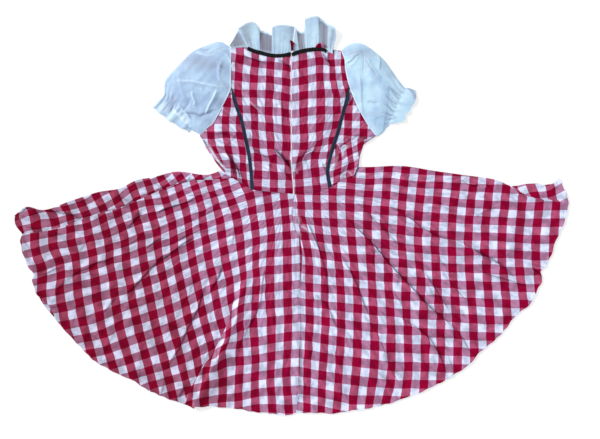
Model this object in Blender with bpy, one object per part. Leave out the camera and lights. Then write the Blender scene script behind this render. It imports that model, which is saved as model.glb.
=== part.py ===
"""A knee-length dirndl dress of checked cotton, laid flat with its back upwards.

The dress lies as a maker would lay it out: the front half of the bodice and of the full-circle
skirt is the lower layer, and the back pieces lie on it. At the left the front of the skirt is
folded over and shows as a strip beside the side seam. The puff sleeves are flattened tubes. The
frill at the back of the neck stands up and has fallen open into three lobes.

World frame: +X to the right, +Y from the hem to the neck, +Z up, with the surface at Z = 0 and
the origin under the middle of the dress. Tables hold millimetres, and MM turns them into metres.
"""
import math
from typing import NamedTuple

import bmesh
import bpy
import numpy as np

MM = 0.001

# Walls, gaps and the heights of the layers.
CLOTH = 1.2  # wall of the checked cotton with its seam allowances
GATHERED = 2.0  # wall of the gathered sleeve cloth
TRIM = 1.0  # wall of the binding and the ribbons
SEAM = 0.3  # gap between two pieces at a seam
LAYER_GAP = 0.5  # air between the front and the back
LOWER = CLOTH / 2  # mid height of the front layer
UPPER = LOWER + CLOTH + LAYER_GAP  # mid height of the back layer
ON_PANEL = UPPER + CLOTH / 2 + SEAM + TRIM / 2  # mid height of a trim that lies on the back
FOLD_RADIUS = (UPPER - LOWER) / 2  # bend of the skirt where the front is folded over
FOLD_STEPS = 4

# Trims and zip.
BINDING_WIDTH = 8.5
RIBBON_WIDTH = 8.5
RIBBON_START = 6.0  # how far below the armhole a ribbon starts
ZIP_SLOT = 3.0  # width between the two panels that the zip lies in
ZIP_WIDTH = ZIP_SLOT - 2 * SEAM
SLIDER_LENGTH = 9.0
SLIDER_HEIGHT = 3.0

# Sleeves.
SLEEVE_TURN = 1.25  # bend of the cloth at a sleeve's two edges
SLEEVE_PUFF = 3.2  # how far the upper side rises over the lower one
SLEEVE_ROWS = 9  # points across one side of a sleeve, one for each corner of the armhole
SLEEVE_GAP = 0.6

# Rows of the grids, as shares of the way from an inner to an outer edge. The zip ends at the
# third share of the skirt, and its centre back seam is closed from the fourth on.
ZIP_SHARE = 0.142
CLOSED_SHARE = 0.188
SKIRT_SHARES = np.array((0.0, 0.07, ZIP_SHARE, CLOSED_SHARE, *np.linspace(0.27, 1.0, 9)))
FRILL_SHARES = np.array((0.0, 0.12, 0.3, 0.5, 0.75, 1.0))
ROW_STEPS = 8  # steps across a bodice panel


class Rib(NamedTuple):
    """A line of the skirt from the waist to the hem, with the fold that runs along it."""

    waist_x: float
    through: tuple  # the points after the waist, the last one on the hem
    lift: float = 0.0  # height of the fold
    begins: float = 0.0  # share of the line where the fold starts
    ends: float = 1.0  # share where it has died out; past 1 it runs into the hem


class Flute(NamedTuple):
    """A line of the neck frill, from the neckline to its free edge."""

    base_x: float
    tip: tuple
    rise: float


class Cut(NamedTuple):
    """A cut across a sleeve, from its upper edge over its middle to its lower edge."""

    points: tuple
    puff: float  # share of the sleeve's full rise


class Finish(NamedTuple):
    """Colour and surface of a cloth or trim."""

    colour: tuple
    roughness: float
    metallic: float = 0.0


GINGHAM = Finish((0.46, 0.02, 0.07), 0.85)
ORGANZA = Finish((0.80, 0.87, 0.94), 0.60)
BLACK_SATIN = Finish((0.012, 0.010, 0.016), 0.40)
BLUE_RIBBON = Finish((0.022, 0.050, 0.085), 0.50)
ZIP_NYLON = Finish((0.82, 0.80, 0.84), 0.40)

# Seams that two or more pieces share, as straight stretches between corners.
NECK_LEFT = ((-157, 436), (-113, 437), (-77, 421), (-43, 416), (0, 417))
NECK_RIGHT = ((0, 417), (48, 430), (86, 428), (108, 420), (129, 428))
ARMHOLE_LEFT = ((-157, 436), (-157, 384), (-157, 332), (-164, 312), (-176, 290), (-190, 262),
                (-204, 238), (-220, 226), (-236, 209))
ARMHOLE_RIGHT = ((129, 428), (138, 404), (139, 381), (147, 344), (151, 333), (160, 308),
                 (176, 272), (199, 233), (219, 206))
WAIST = ((-152, 97), (-101, 66), (6, 56), (61, 59), (99, 71), (120, 84), (134, 99), (160, 97),
         (174, 126))
RIBBON_LEFT = ((-157, 332), (-148, 300), (-134, 259), (-118, 199), (-108, 131), (-101, 66))
RIBBON_RIGHT = ((151, 333), (138, 277), (121, 213), (99, 131), (94, 108), (99, 71))
FRONT_NECK = ((-116, 434), (-106, 396), (-92, 362), (-72, 334), (-50, 314), (-26, 300), (0, 294),
              (26, 300), (50, 314), (72, 334), (92, 362), (104, 396), (112, 430))
FRONT_FRILL = 50.0  # width of the frill at the front of the neck
FRONT_FRILL_AIM = (0, 440)  # the point that the front frill is pressed towards
CENTRE_BACK = ((6, 56), (0, 131), (0, 417))  # from the waist up to the neckline
CENTRE_RIB = Rib(6, ((6, -25), (19, -53), (20, -220), (20, -430), (12, -512)))

# Left back panel of the skirt, from the centre back seam to the side seam.
LEFT_PANEL = (
    CENTRE_RIB,
    Rib(-12, ((-24, -220), (-40, -514)), 4, 0.6, 1.3),
    Rib(-30, ((-58, -220), (-92, -508))),
    Rib(-46, ((-80, -237), (-140, -503))),
    Rib(-52, ((-91, -237), (-168, -499)), 4, 0.2, 0.9),
    Rib(-60, ((-101, -237), (-190, -497))),
    Rib(-75, ((-128, -237), (-228, -495))),
    Rib(-84, ((-145, -237), (-270, -492)), 7, 0.1, 1.1),
    Rib(-90, ((-160, -237), (-292, -485))),
    Rib(-101, ((-199, -230), (-340, -468)), 2, 0.5, 1.2),
    Rib(-110, ((-240, -245), (-372, -454))),
    Rib(-114, ((-254, -257), (-388, -445)), 5, 0.4, 1.0),
    Rib(-118, ((-268, -257), (-404, -434))),
    Rib(-126, ((-316, -220), (-462, -405)), 3, 0.5, 1.3),
    Rib(-132, ((-352, -181), (-519, -368))),
    Rib(-138, ((-384, -125), (-597, -290)), 4, 0.5, 1.3),
    Rib(-144, ((-408, -66), (-659, -204))),
    Rib(-148, ((-424, -10), (-692, -118)), 4, 0.4, 1.3),
    Rib(-152, ((-304, 71), (-399, 35), (-519, -10), (-699, -48))),
)

# Right back panel of the skirt, from the centre back seam to its upper edge.
RIGHT_PANEL = (
    CENTRE_RIB,
    Rib(24, ((54, -220), (62, -514)), 3, 0.6, 1.3),
    Rib(42, ((88, -220), (120, -512))),
    Rib(61, ((118, -235), (166, -505)), 4, 0.5, 1.2),
    Rib(72, ((150, -220), (226, -495))),
    Rib(80, ((180, -210), (270, -480))),
    Rib(86, ((198, -205), (296, -472)), 6, 0.25, 1.2),
    Rib(92, ((216, -200), (322, -462))),
    Rib(99, ((258, -188), (375, -440)), 3, 0.5, 1.1),
    Rib(106, ((294, -172), (432, -408))),
    Rib(113, ((318, -158), (464, -382)), 5, 0.3, 1.1),
    Rib(120, ((344, -140), (496, -349))),
    Rib(124, ((362, -122), (541, -312))),
    Rib(127, ((380, -100), (577, -266)), 4, 0.4, 1.1),
    Rib(134, ((408, -60), (623, -224))),
    Rib(140, ((418, -42), (650, -168))),
    Rib(147, ((430, -14), (671, -113)), 5, 0.2, 1.2),
    Rib(160, ((446, 24), (691, -55))),
    Rib(167, ((452, 66), (600, 46), (713, -6)), 4, 0.5, 1.3),
    Rib(171, ((366, 99), (450, 90), (590, 64), (717, 36))),
    Rib(174, ((285, 129), (370, 116), (448, 105), (538, 90), (574, 77), (612, 83), (638, 83),
              (667, 77), (696, 98))),
)

# Front of the skirt, from its right end to the fold at the left, and the strip folded over.
FRONT_LAYER = (
    Rib(174, ((285, 123), (448, 99), (574, 71), (689, 84))),
    Rib(160, ((452, 56), (712, 30))),
    Rib(134, ((426, -20), (687, -56))),
    Rib(120, ((344, -140), (538, -309))),
    Rib(99, ((258, -188), (375, -437))),
    Rib(61, ((140, -215), (200, -496))),
    Rib(6, ((20, -220), (12, -508))),
    Rib(-46, ((-80, -237), (-140, -499))),
    Rib(-84, ((-145, -237), (-270, -488))),
    Rib(-101, ((-199, -230), (-338, -464))),
    Rib(-114, ((-254, -257), (-385, -441))),
    Rib(-126, ((-316, -220), (-459, -402))),
    Rib(-138, ((-384, -125), (-593, -287))),
    Rib(-148, ((-424, -10), (-686, -118))),
    Rib(-152, ((-428, 40), (-700, -48))),
)
FOLD_LINE = ((-180, 119), (-206, 108), (-304, 113), (-360, 99), (-404, 91), (-443, 71),
             (-500, 61), (-573, 38), (-650, 14), (-690, 22), (-719, 0))
STRIP_LIFT = Rib(-158, ((-240, 92), (-400, 62), (-520, 14), (-712, -22)), 4, 0.5, 1.3)

# Bodice panels, as rows from their left to their right edge.
BACK_LEFT_EDGE = (*ARMHOLE_LEFT[1:2], *RIBBON_LEFT[:-1])
BACK_RIGHT_EDGE = (*ARMHOLE_RIGHT[1:4], *RIBBON_RIGHT[:-1])
SIDE_LEFT_ROWS = (
    (ARMHOLE_LEFT[3], (-152, 314)),
    (ARMHOLE_LEFT[4], RIBBON_LEFT[1]),
    (ARMHOLE_LEFT[5], (-141, 280)),
    (ARMHOLE_LEFT[6], RIBBON_LEFT[2]),
    (ARMHOLE_LEFT[7], (-126, 229)),
    (ARMHOLE_LEFT[8], RIBBON_LEFT[3]),
    ((-219, 184), (-111.3, 153.7)),
    ((-206, 158), RIBBON_LEFT[4]),
    ((-190, 136), (-105.7, 109.3)),
    ((-170, 115), (-103.3, 87.7)),
    (WAIST[0], WAIST[1]),
)
SIDE_RIGHT_ROWS = (
    (RIBBON_RIGHT[1], ARMHOLE_RIGHT[5]),
    ((132.6, 256.8), ARMHOLE_RIGHT[6]),
    (RIBBON_RIGHT[2], ARMHOLE_RIGHT[7]),
    ((106, 157), ARMHOLE_RIGHT[8]),
    (RIBBON_RIGHT[3], (188, 190)),
    (RIBBON_RIGHT[4], (178, 160)),
    WAIST[4:],
)
FRONT_LEFT_OUTER = (*ARMHOLE_LEFT, (-222, 176), (-194, 139), WAIST[0])
FRONT_LEFT_INNER = (*FRONT_NECK[:7], (0, 262), (0, 230), (0, 170), (0, 110), WAIST[2])
FRONT_RIGHT_INNER = (*FRONT_NECK[:5:-1], (0, 262), (0, 230), (0, 170), (0, 110), WAIST[2])
FRONT_RIGHT_OUTER = (*ARMHOLE_RIGHT, (190, 192), (178, 156), WAIST[-1])

# Sleeves, from the armhole to the edge of the frilled cuff.
SLEEVE_LEFT = (
    Cut(ARMHOLE_LEFT, 0.3),
    Cut(((-186, 451), (-190, 330), (-242, 213)), 0.8),
    Cut(((-214, 444), (-212, 330), (-246, 215)), 1.0),
    Cut(((-250, 429), (-236, 322), (-250, 217)), 1.0),
    Cut(((-271, 413), (-246, 316), (-252, 218)), 1.0),
    Cut(((-290, 393), (-256, 310), (-254, 219)), 0.9),
    Cut(((-326, 353), (-280, 292), (-257, 221)), 0.8),
    Cut(((-331, 316), (-294, 276), (-260, 223)), 0.2),
    Cut(((-343, 300), (-303, 264), (-262, 222)), 0.4),
    Cut(((-360, 281), (-316, 245), (-266, 217)), 0.5),
)
SLEEVE_RIGHT = (
    Cut(ARMHOLE_RIGHT, 0.3),
    Cut(((147, 443), (174, 330), (224, 206)), 0.8),
    Cut(((172, 448), (198, 335), (229, 209)), 1.0),
    Cut(((196, 440), (220, 330), (233, 212)), 1.0),
    Cut(((225, 418), (240, 325), (237, 215)), 0.9),
    Cut(((244, 400), (249, 322), (239, 218)), 0.85),
    Cut(((258, 380), (256, 317), (241, 220)), 0.8),
    Cut(((290, 336), (273, 292), (247, 229)), 0.2),
    Cut(((305, 331), (285, 278), (252, 233)), 0.4),
    Cut(((325, 324), (317, 288), (300, 264), (290, 246), (256, 239)), 0.5),
)

# Frill at the back of the neck, in two pieces that end at the zip.
FRILL_LEFT = (
    Flute(-155, (-161, 443), 0.5),
    Flute(-144, (-152, 462), 1),
    Flute(-131, (-141, 478), 2),
    Flute(-113, (-136, 486), 13),
    Flute(-102, (-118, 495), 17),
    Flute(-89, (-101, 499), 18),
    Flute(-77, (-84, 489), 12),
    Flute(-69, (-78, 481), 3),
    Flute(-62, (-65, 476), 1.5),
    Flute(-54, (-55, 472), 3),
    Flute(-49, (-49, 484), 11),
    Flute(-43, (-40, 493), 15),
    Flute(-24, (-20, 495), 17),
    Flute(-11, (-2, 494), 13),
    Flute(-3, (9, 491), 7),
)
FRILL_RIGHT = (
    Flute(3, (10.5, 487), 5),
    Flute(15, (21, 478), 1.5),
    Flute(24, (30, 475), 3),
    Flute(30, (34, 509), 11),
    Flute(39, (47, 516), 16),
    Flute(48, (62, 517), 18),
    Flute(60, (76, 511), 17),
    Flute(72, (93, 501), 15),
    Flute(86, (108, 496), 11),
    Flute(96, (117, 480), 7),
    Flute(108, (113, 450), 3),
)


def polyline_y(corners, x):
    """Y of a line of straight stretches at X."""
    xs, ys = zip(*corners)
    return float(np.interp(x, xs, ys))


def smooth_line(points, shares):
    """Points at shares of the way along a smooth curve through the given points."""
    points = np.array(points, float)
    knots = np.concatenate(([0], np.cumsum(np.hypot(*np.diff(points, axis=0).T))))
    slopes = np.gradient(points, knots, axis=0)
    line = []
    for along in shares * knots[-1]:
        first = min(int(np.searchsorted(knots, along, side="right")) - 1, len(knots) - 2)
        span = knots[first + 1] - knots[first]
        part = (along - knots[first]) / span
        line.append((2 * part**3 - 3 * part**2 + 1) * points[first]
                    + (part**3 - 2 * part**2 + part) * span * slopes[first]
                    + (3 * part**2 - 2 * part**3) * points[first + 1]
                    + (part**3 - part**2) * span * slopes[first + 1])
    return np.array(line)


def straight_line(corners, count):
    """Evenly counted points on straight stretches, one at every corner."""
    corners = np.array(corners, float)
    places = np.linspace(0, len(corners) - 1, count)
    return np.column_stack([np.interp(places, range(len(corners)), axis) for axis in corners.T])


def fold_height(rib, shares):
    """Height of a rib's fold at shares of the way to the hem."""
    inside = np.clip((shares - rib.begins) / (rib.ends - rib.begins), 0, 1)
    return rib.lift * np.sin(math.pi * inside) ** 2


def rib_line(rib, shares):
    """Points of a rib, from the waist seam to the hem."""
    start = (rib.waist_x, polyline_y(WAIST, rib.waist_x))
    return smooth_line((start, *rib.through), shares)


def ribbed_grid(ribs, shares, level, between=3):
    """Mid surface of a skirt piece: straight from rib to rib at the waist, smooth at the hem."""
    lines = np.array([rib_line(rib, shares) for rib in ribs])
    heights = np.array([fold_height(rib, shares) for rib in ribs])
    slopes = np.gradient(lines, axis=0)
    columns = []
    for place in np.linspace(0, len(ribs) - 1, (len(ribs) - 1) * between + 1):
        first = min(int(place), len(ribs) - 2)
        part = place - first
        straight = lines[first] * (1 - part) + lines[first + 1] * part
        smooth = ((2 * part**3 - 3 * part**2 + 1) * lines[first]
                  + (part**3 - 2 * part**2 + part) * slopes[first]
                  + (3 * part**2 - 2 * part**3) * lines[first + 1]
                  + (part**3 - part**2) * slopes[first + 1])
        outline = straight * (1 - shares[:, None]) + smooth * shares[:, None]
        eased = part * part * (3 - 2 * part)
        height = heights[first] * (1 - eased) + heights[first + 1] * eased
        columns.append(np.column_stack([outline, level + height]))
    return np.array(columns)


def open_at_zip(grid, side):
    """Move a skirt panel's first column aside, to leave the slot of the zip."""
    slot = np.where(SKIRT_SHARES <= ZIP_SHARE, (ZIP_SLOT - SEAM) / 2, 0)
    grid[0, :, 0] += side * slot
    return grid


def wrapped_front():
    """Mid surface of the skirt's front: the lower layer, the fold at its left and the strip."""
    layer = ribbed_grid(FRONT_LAYER, SKIRT_SHARES, LOWER)
    fold = smooth_line(FOLD_LINE, SKIRT_SHARES)
    run = np.gradient(fold, axis=0)
    inward = np.column_stack([-run[:, 1], run[:, 0]]) / np.hypot(*run.T)[:, None]
    columns = list(layer)
    middle = (LOWER + UPPER) / 2
    for angle in np.linspace(-math.pi / 2, math.pi / 2, FOLD_STEPS + 1):
        inset = CLOTH / 2 + FOLD_RADIUS * (1 - math.cos(angle))
        height = np.full(len(fold), middle + FOLD_RADIUS * math.sin(angle))
        columns.append(np.column_stack([fold + inward * inset, height]))
    lift = smooth_line(((-166, 108), *STRIP_LIFT.through), SKIRT_SHARES)
    columns.append(np.column_stack([lift, UPPER + fold_height(STRIP_LIFT, SKIRT_SHARES)]))
    seam = rib_line(LEFT_PANEL[-1], SKIRT_SHARES)
    columns.append(np.column_stack([seam, np.full(len(seam), UPPER)]))
    return np.array(columns)


def row_grid(rows, level, steps=ROW_STEPS):
    """Flat mid surface of a panel that is given as rows of corners."""
    columns = []
    for row in rows:
        line = straight_line(row, steps + 1)
        columns.append(np.column_stack([line, np.full(len(line), level)]))
    return np.array(columns)


def centre_back(y):
    """The point of the centre back line of the bodice at a height."""
    xs, ys = zip(*CENTRE_BACK)
    return float(np.interp(y, ys, xs)), y


def back_panel_grid(rows, side):
    """Mid surface of a bodice panel at the zip, its edge there moved aside to leave the slot."""
    grid = row_grid(rows, UPPER)
    edge = 0 if side > 0 else -1
    grid[:, edge, 0] += side * (ZIP_SLOT - SEAM) / 2
    return grid


def frill_grid(flutes, neckline):
    """Mid surface of a frill: flat at the neckline and raised towards its free edge."""
    columns = []
    for flute in flutes:
        base = np.array((flute.base_x, polyline_y(neckline, flute.base_x)))
        line = base + (np.array(flute.tip) - base) * FRILL_SHARES[:, None]
        columns.append(np.column_stack([line, UPPER + flute.rise * FRILL_SHARES**2]))
    return np.array(columns)


def band_grid(centre, widths, level):
    """Mid surface of a narrow band along a centre line, with a width at each of its points."""
    centre = np.array(centre, float)
    run = np.gradient(centre, axis=0)
    across = np.column_stack([-run[:, 1], run[:, 0]]) / np.hypot(*run.T)[:, None]
    reach = across * np.array(widths)[:, None] / 2
    heights = np.full(len(centre), level)
    return np.array([np.column_stack([centre + side * reach, heights]) for side in (-1, 1)])


def front_neck_grids():
    """Mid surfaces of the front binding and frill, side by side within the front neckline."""
    neckline = np.array(FRONT_NECK, float)
    run = np.gradient(neckline, axis=0)
    inward = np.column_stack([-run[:, 1], run[:, 0]]) / np.hypot(*run.T)[:, None]
    seam = neckline + inward * BINDING_WIDTH
    aim = np.array(FRONT_FRILL_AIM) - seam
    tips = seam + aim / np.hypot(*aim.T)[:, None] * FRONT_FRILL
    grids = []
    for inner, outer in ((neckline, seam), (seam, tips)):
        lines = np.stack([inner, (inner + outer) / 2, outer], axis=1)
        heights = np.full((*lines.shape[:2], 1), LOWER)
        grids.append(np.concatenate([lines, heights], axis=2))
    return grids


def sleeve_grid(cuts):
    """Mid surface of a flattened sleeve: one closed ring for each cut."""
    rings = []
    floor = GATHERED / 2
    for cut in cuts:
        if len(cut.points) == SLEEVE_ROWS:
            line = straight_line(cut.points, SLEEVE_ROWS)
        else:
            line = smooth_line(cut.points, np.linspace(0, 1, SLEEVE_ROWS))
        outward = [line[0] - line[1], line[-1] - line[-2]]
        outward = [way / np.hypot(*way) for way in outward]
        line[0] -= outward[0] * (SLEEVE_TURN + GATHERED / 2)
        line[-1] -= outward[1] * (SLEEVE_TURN + GATHERED / 2)
        arch = SLEEVE_PUFF * cut.puff * np.sin(np.linspace(0, math.pi, SLEEVE_ROWS))
        ring = [(*point, floor) for point in line]
        ring += sleeve_turn(line[-1], outward[1], floor, (-45, 0, 45))
        ring += [(*point, floor + 2 * SLEEVE_TURN + rise) for point, rise in zip(line[::-1], arch)]
        ring += sleeve_turn(line[0], outward[0], floor, (45, 0, -45))
        rings.append(ring)
    grid = np.array(rings)
    for end, beside in ((0, 1), (-1, -2)):
        way = grid[beside] - grid[end]
        way[:, 2] = 0
        grid[end] += way / np.linalg.norm(way, axis=1)[:, None] * SLEEVE_GAP
    return grid


def sleeve_turn(point, outward, floor, angles):
    """Points of the bend at one edge of a sleeve."""
    turned = []
    for angle in np.radians(angles):
        place = point + outward * SLEEVE_TURN * math.cos(angle)
        turned.append((*place, floor + SLEEVE_TURN * (1 + math.sin(angle))))
    return turned


def inset(grid, gap):
    """Draw the four edges of an open grid in by a gap, square to each edge."""
    drawn = grid.copy()
    edges = ((grid[0], grid[1], drawn[0]), (grid[-1], grid[-2], drawn[-1]),
             (grid[:, 0], grid[:, 1], drawn[:, 0]), (grid[:, -1], grid[:, -2], drawn[:, -1]))
    for edge, beside, moved in edges:
        run = np.gradient(edge, axis=0)
        run /= np.linalg.norm(run, axis=1)[:, None]
        inward = beside - edge
        inward -= run * np.sum(run * inward, axis=1)[:, None]
        moved += inward / np.linalg.norm(inward, axis=1)[:, None] * gap
    return drawn


def surface_normals(grid, closed):
    """Unit normals of a grid, from its neighbours along both directions."""
    across = np.gradient(grid, axis=0)
    if closed:
        along = (np.roll(grid, -1, axis=1) - np.roll(grid, 1, axis=1)) / 2
    else:
        along = np.gradient(grid, axis=1)
    normals = np.cross(across, along)
    return normals / np.linalg.norm(normals, axis=2)[:, :, None]


def material_of(name, finish):
    """A Principled material for one piece."""
    material = bpy.data.materials.new(name)
    material.use_nodes = True
    shader = material.node_tree.nodes["Principled BSDF"]
    shader.inputs["Base Color"].default_value = (*finish.colour, 1)
    shader.inputs["Roughness"].default_value = finish.roughness
    shader.inputs["Metallic"].default_value = finish.metallic
    material.diffuse_color = (*finish.colour, 1)
    return material


def cloth_object(name, grid, wall, finish, closed=False, gap=SEAM / 2):
    """A closed wall of cloth around a grid of mid surface points, as a named object."""
    if not closed:
        grid = inset(grid, gap)
    reach = surface_normals(grid, closed) * wall / 2
    mesh_data = bmesh.new()
    sides = [[[mesh_data.verts.new(point * MM) for point in column] for column in grid + side * reach]
             for side in (1, -1)]
    columns, rows = grid.shape[:2]
    row_pairs = [(row, (row + 1) % rows) for row in range(rows if closed else rows - 1)]
    for side in sides:
        for column in range(columns - 1):
            for row, after in row_pairs:
                add_quad(mesh_data, side[column][row], side[column + 1][row], side[column + 1][after],
                         side[column][after])
    rims = [(0, row, 0, after) for row, after in row_pairs]
    rims += [(columns - 1, row, columns - 1, after) for row, after in row_pairs]
    if not closed:
        rims += [(column, 0, column + 1, 0) for column in range(columns - 1)]
        rims += [(column, rows - 1, column + 1, rows - 1) for column in range(columns - 1)]
    for column, row, next_column, next_row in rims:
        add_quad(mesh_data, sides[0][column][row], sides[0][next_column][next_row],
                 sides[1][next_column][next_row], sides[1][column][row])
    bmesh.ops.recalc_face_normals(mesh_data, faces=mesh_data.faces)
    return place_object(name, mesh_data, finish)


def add_quad(mesh_data, first, second, third, fourth):
    """Two triangles that share the diagonal from the first to the third corner."""
    mesh_data.faces.new((first, second, third))
    mesh_data.faces.new((first, third, fourth))


def place_object(name, mesh_data, finish):
    """Link a finished mesh as a named object with its own material."""
    mesh = bpy.data.meshes.new(name)
    mesh_data.to_mesh(mesh)
    mesh_data.free()
    placed = bpy.data.objects.new(name, mesh)
    mesh.materials.append(material_of(name, finish))
    bpy.context.collection.objects.link(placed)
    return placed


def build_skirt():
    """The two back panels and the folded front of the skirt."""
    left = open_at_zip(ribbed_grid(LEFT_PANEL, SKIRT_SHARES, UPPER), -1)
    right = open_at_zip(ribbed_grid(RIGHT_PANEL, SKIRT_SHARES, UPPER), 1)
    cloth_object("skirt_back_left", left, CLOTH, GINGHAM)
    cloth_object("skirt_back_right", right, CLOTH, GINGHAM)
    cloth_object("skirt_front", wrapped_front(), CLOTH, GINGHAM)


def build_bodice():
    """The four back panels and the two halves of the front."""
    left_rows = (NECK_LEFT, *((corner, centre_back(corner[1])) for corner in BACK_LEFT_EDGE),
                 (WAIST[1], WAIST[2]))
    right_rows = (NECK_RIGHT, *((centre_back(corner[1]), corner) for corner in BACK_RIGHT_EDGE),
                  WAIST[2:5])
    cloth_object("bodice_back_left", back_panel_grid(left_rows, -1), CLOTH, GINGHAM)
    cloth_object("bodice_back_right", back_panel_grid(right_rows, 1), CLOTH, GINGHAM)
    cloth_object("bodice_side_left", row_grid(SIDE_LEFT_ROWS, UPPER), CLOTH, GINGHAM)
    cloth_object("bodice_side_right", row_grid(SIDE_RIGHT_ROWS, UPPER, 4), CLOTH, GINGHAM)
    front_left = list(zip(FRONT_LEFT_OUTER, FRONT_LEFT_INNER))
    front_left[-1] = WAIST[:3]
    front_right = list(zip(FRONT_RIGHT_INNER, FRONT_RIGHT_OUTER))
    front_right[-1] = WAIST[2:]
    cloth_object("bodice_front_left", row_grid(front_left, LOWER, 4), CLOTH, GINGHAM)
    cloth_object("bodice_front_right", row_grid(front_right, LOWER, 6), CLOTH, GINGHAM)


def build_sleeves():
    """The two puff sleeves with their frilled cuffs."""
    cloth_object("sleeve_left", sleeve_grid(SLEEVE_LEFT), GATHERED, ORGANZA, closed=True)
    cloth_object("sleeve_right", sleeve_grid(SLEEVE_RIGHT), GATHERED, ORGANZA, closed=True)


def build_neck():
    """The frills and the bindings of the neckline, back and front."""
    cloth_object("frill_back_left", frill_grid(FRILL_LEFT, NECK_LEFT), CLOTH, ORGANZA)
    cloth_object("frill_back_right", frill_grid(FRILL_RIGHT, NECK_RIGHT), CLOTH, ORGANZA)
    for name, line, side in (("binding_back_left", NECK_LEFT[1:], -1),
                             ("binding_back_right", NECK_RIGHT[:4], 1)):
        band = band_grid(straight_line(line, 7), np.full(7, BINDING_WIDTH), ON_PANEL)
        band[:, 0 if side > 0 else -1, 0] = side * (ZIP_SLOT - SEAM) / 2
        cloth_object(name, band, TRIM, BLACK_SATIN)
    binding, frill = front_neck_grids()
    cloth_object("binding_front", binding, CLOTH, BLACK_SATIN)
    cloth_object("frill_front", frill, CLOTH, ORGANZA)


def build_zip():
    """The closed chain of the zip and its slider, which stands at the neckline."""
    slider_foot = NECK_LEFT[-1][1] - SLIDER_LENGTH / 2
    heights = (slider_foot - 2 * SEAM, *(corner[1] for corner in BACK_LEFT_EDGE), CENTRE_BACK[0][1])
    bodice_part = [centre_back(y) for y in heights]
    skirt_part = rib_line(CENTRE_RIB, SKIRT_SHARES[1:3])
    centre = np.array([*bodice_part, *skirt_part])
    chain = band_grid(centre, np.full(len(centre), ZIP_WIDTH + SEAM), UPPER)
    cloth_object("zip_chain", chain, CLOTH, ZIP_NYLON)
    body = bmesh.new()
    bmesh.ops.create_cube(body, size=MM)
    bmesh.ops.scale(body, verts=body.verts, vec=(ZIP_WIDTH, SLIDER_LENGTH, SLIDER_HEIGHT))
    middle = (0, NECK_LEFT[-1][1], UPPER - CLOTH / 2 + SLIDER_HEIGHT / 2)
    bmesh.ops.translate(body, verts=body.verts, vec=[value * MM for value in middle])
    place_object("zip_slider", body, ZIP_NYLON)


def build_ribbons():
    """The ribbons on the seams of the back, pointed at the armhole."""
    for name, line in (("ribbon_left", RIBBON_LEFT), ("ribbon_right", RIBBON_RIGHT)):
        centre = np.array(line, float)
        run = centre[1] - centre[0]
        centre[0] += run / np.hypot(*run) * RIBBON_START
        widths = np.full(len(centre), RIBBON_WIDTH)
        widths[0] = RIBBON_WIDTH / 3
        cloth_object(name, band_grid(centre, widths, ON_PANEL), TRIM, BLUE_RIBBON)


def main():
    """Build the dress in an emptied scene."""
    for old in list(bpy.data.objects):
        bpy.data.objects.remove(old)
    build_skirt()
    build_bodice()
    build_sleeves()
    build_neck()
    build_ribbons()
    build_zip()


main()
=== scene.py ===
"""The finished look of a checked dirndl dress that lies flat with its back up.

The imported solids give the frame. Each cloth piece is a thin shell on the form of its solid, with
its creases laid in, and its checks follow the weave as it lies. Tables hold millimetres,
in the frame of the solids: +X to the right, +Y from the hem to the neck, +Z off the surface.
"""
import logging
import math
from dataclasses import dataclass
from enum import Enum
from functools import partial
from typing import Callable, Optional, Sequence, Union

import bmesh
import bpy
import numpy as np
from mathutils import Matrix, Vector


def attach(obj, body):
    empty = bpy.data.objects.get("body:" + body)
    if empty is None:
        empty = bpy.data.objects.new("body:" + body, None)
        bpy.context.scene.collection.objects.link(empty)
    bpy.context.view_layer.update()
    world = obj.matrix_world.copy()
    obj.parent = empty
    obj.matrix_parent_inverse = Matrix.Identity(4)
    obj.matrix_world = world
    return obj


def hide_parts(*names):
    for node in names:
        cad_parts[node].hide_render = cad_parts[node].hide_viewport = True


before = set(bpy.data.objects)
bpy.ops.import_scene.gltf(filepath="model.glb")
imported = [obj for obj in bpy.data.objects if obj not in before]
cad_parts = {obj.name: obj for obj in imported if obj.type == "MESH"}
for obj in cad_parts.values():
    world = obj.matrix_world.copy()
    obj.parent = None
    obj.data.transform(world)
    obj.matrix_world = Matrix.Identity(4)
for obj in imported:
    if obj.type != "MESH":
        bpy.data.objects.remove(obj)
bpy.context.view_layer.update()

LOG = logging.getLogger("dirndl")

MM = 0.001
BODY = "root"

# Heights of the layers, and the walls of the cloth.
FRONT_LEVEL = 0.6
BACK_LEVEL = 3.0
COTTON = 0.8
SHEER = 0.6
PITCH = 44.0  # repeat of the checks: one red and one white stripe
MARKED = 7.0  # how far from its middle a dark line still counts
HUMP = 0.6  # typical share of its full height that uneven cloth has

# Seams that two or more pieces share.
NECK_LEFT = ((-157, 436), (-113, 437), (-77, 421), (-43, 416), (0, 417))
NECK_RIGHT = ((0, 417), (48, 430), (86, 428), (108, 420), (129, 428))
ARMHOLE_LEFT = (
    (-157, 436), (-157, 384), (-157, 332), (-164, 312), (-176, 290), (-190, 262), (-204, 238),
    (-220, 226), (-236, 209))
ARMHOLE_RIGHT = (
    (129, 428), (138, 404), (139, 381), (147, 344), (151, 333), (160, 308), (176, 272), (199, 233),
    (219, 206))
WAIST = (
    (-152, 97), (-101, 66), (6, 56), (61, 59), (99, 71), (120, 84), (134, 99), (160, 97),
    (174, 126))
RIBBON_LEFT = ((-157, 332), (-148, 300), (-134, 259), (-118, 199), (-108, 131), (-101, 66))
RIBBON_RIGHT = ((151, 333), (138, 277), (121, 213), (99, 131), (94, 108), (99, 71))
CENTRE_BACK = ((0, 417), (0, 131), (6, 56))
FRONT_NECK = (
    (-116, 434), (-106, 396), (-92, 362), (-72, 334), (-50, 314), (-26, 300), (0, 294), (26, 300),
    (50, 314), (72, 334), (92, 362), (104, 396), (112, 430))

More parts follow.
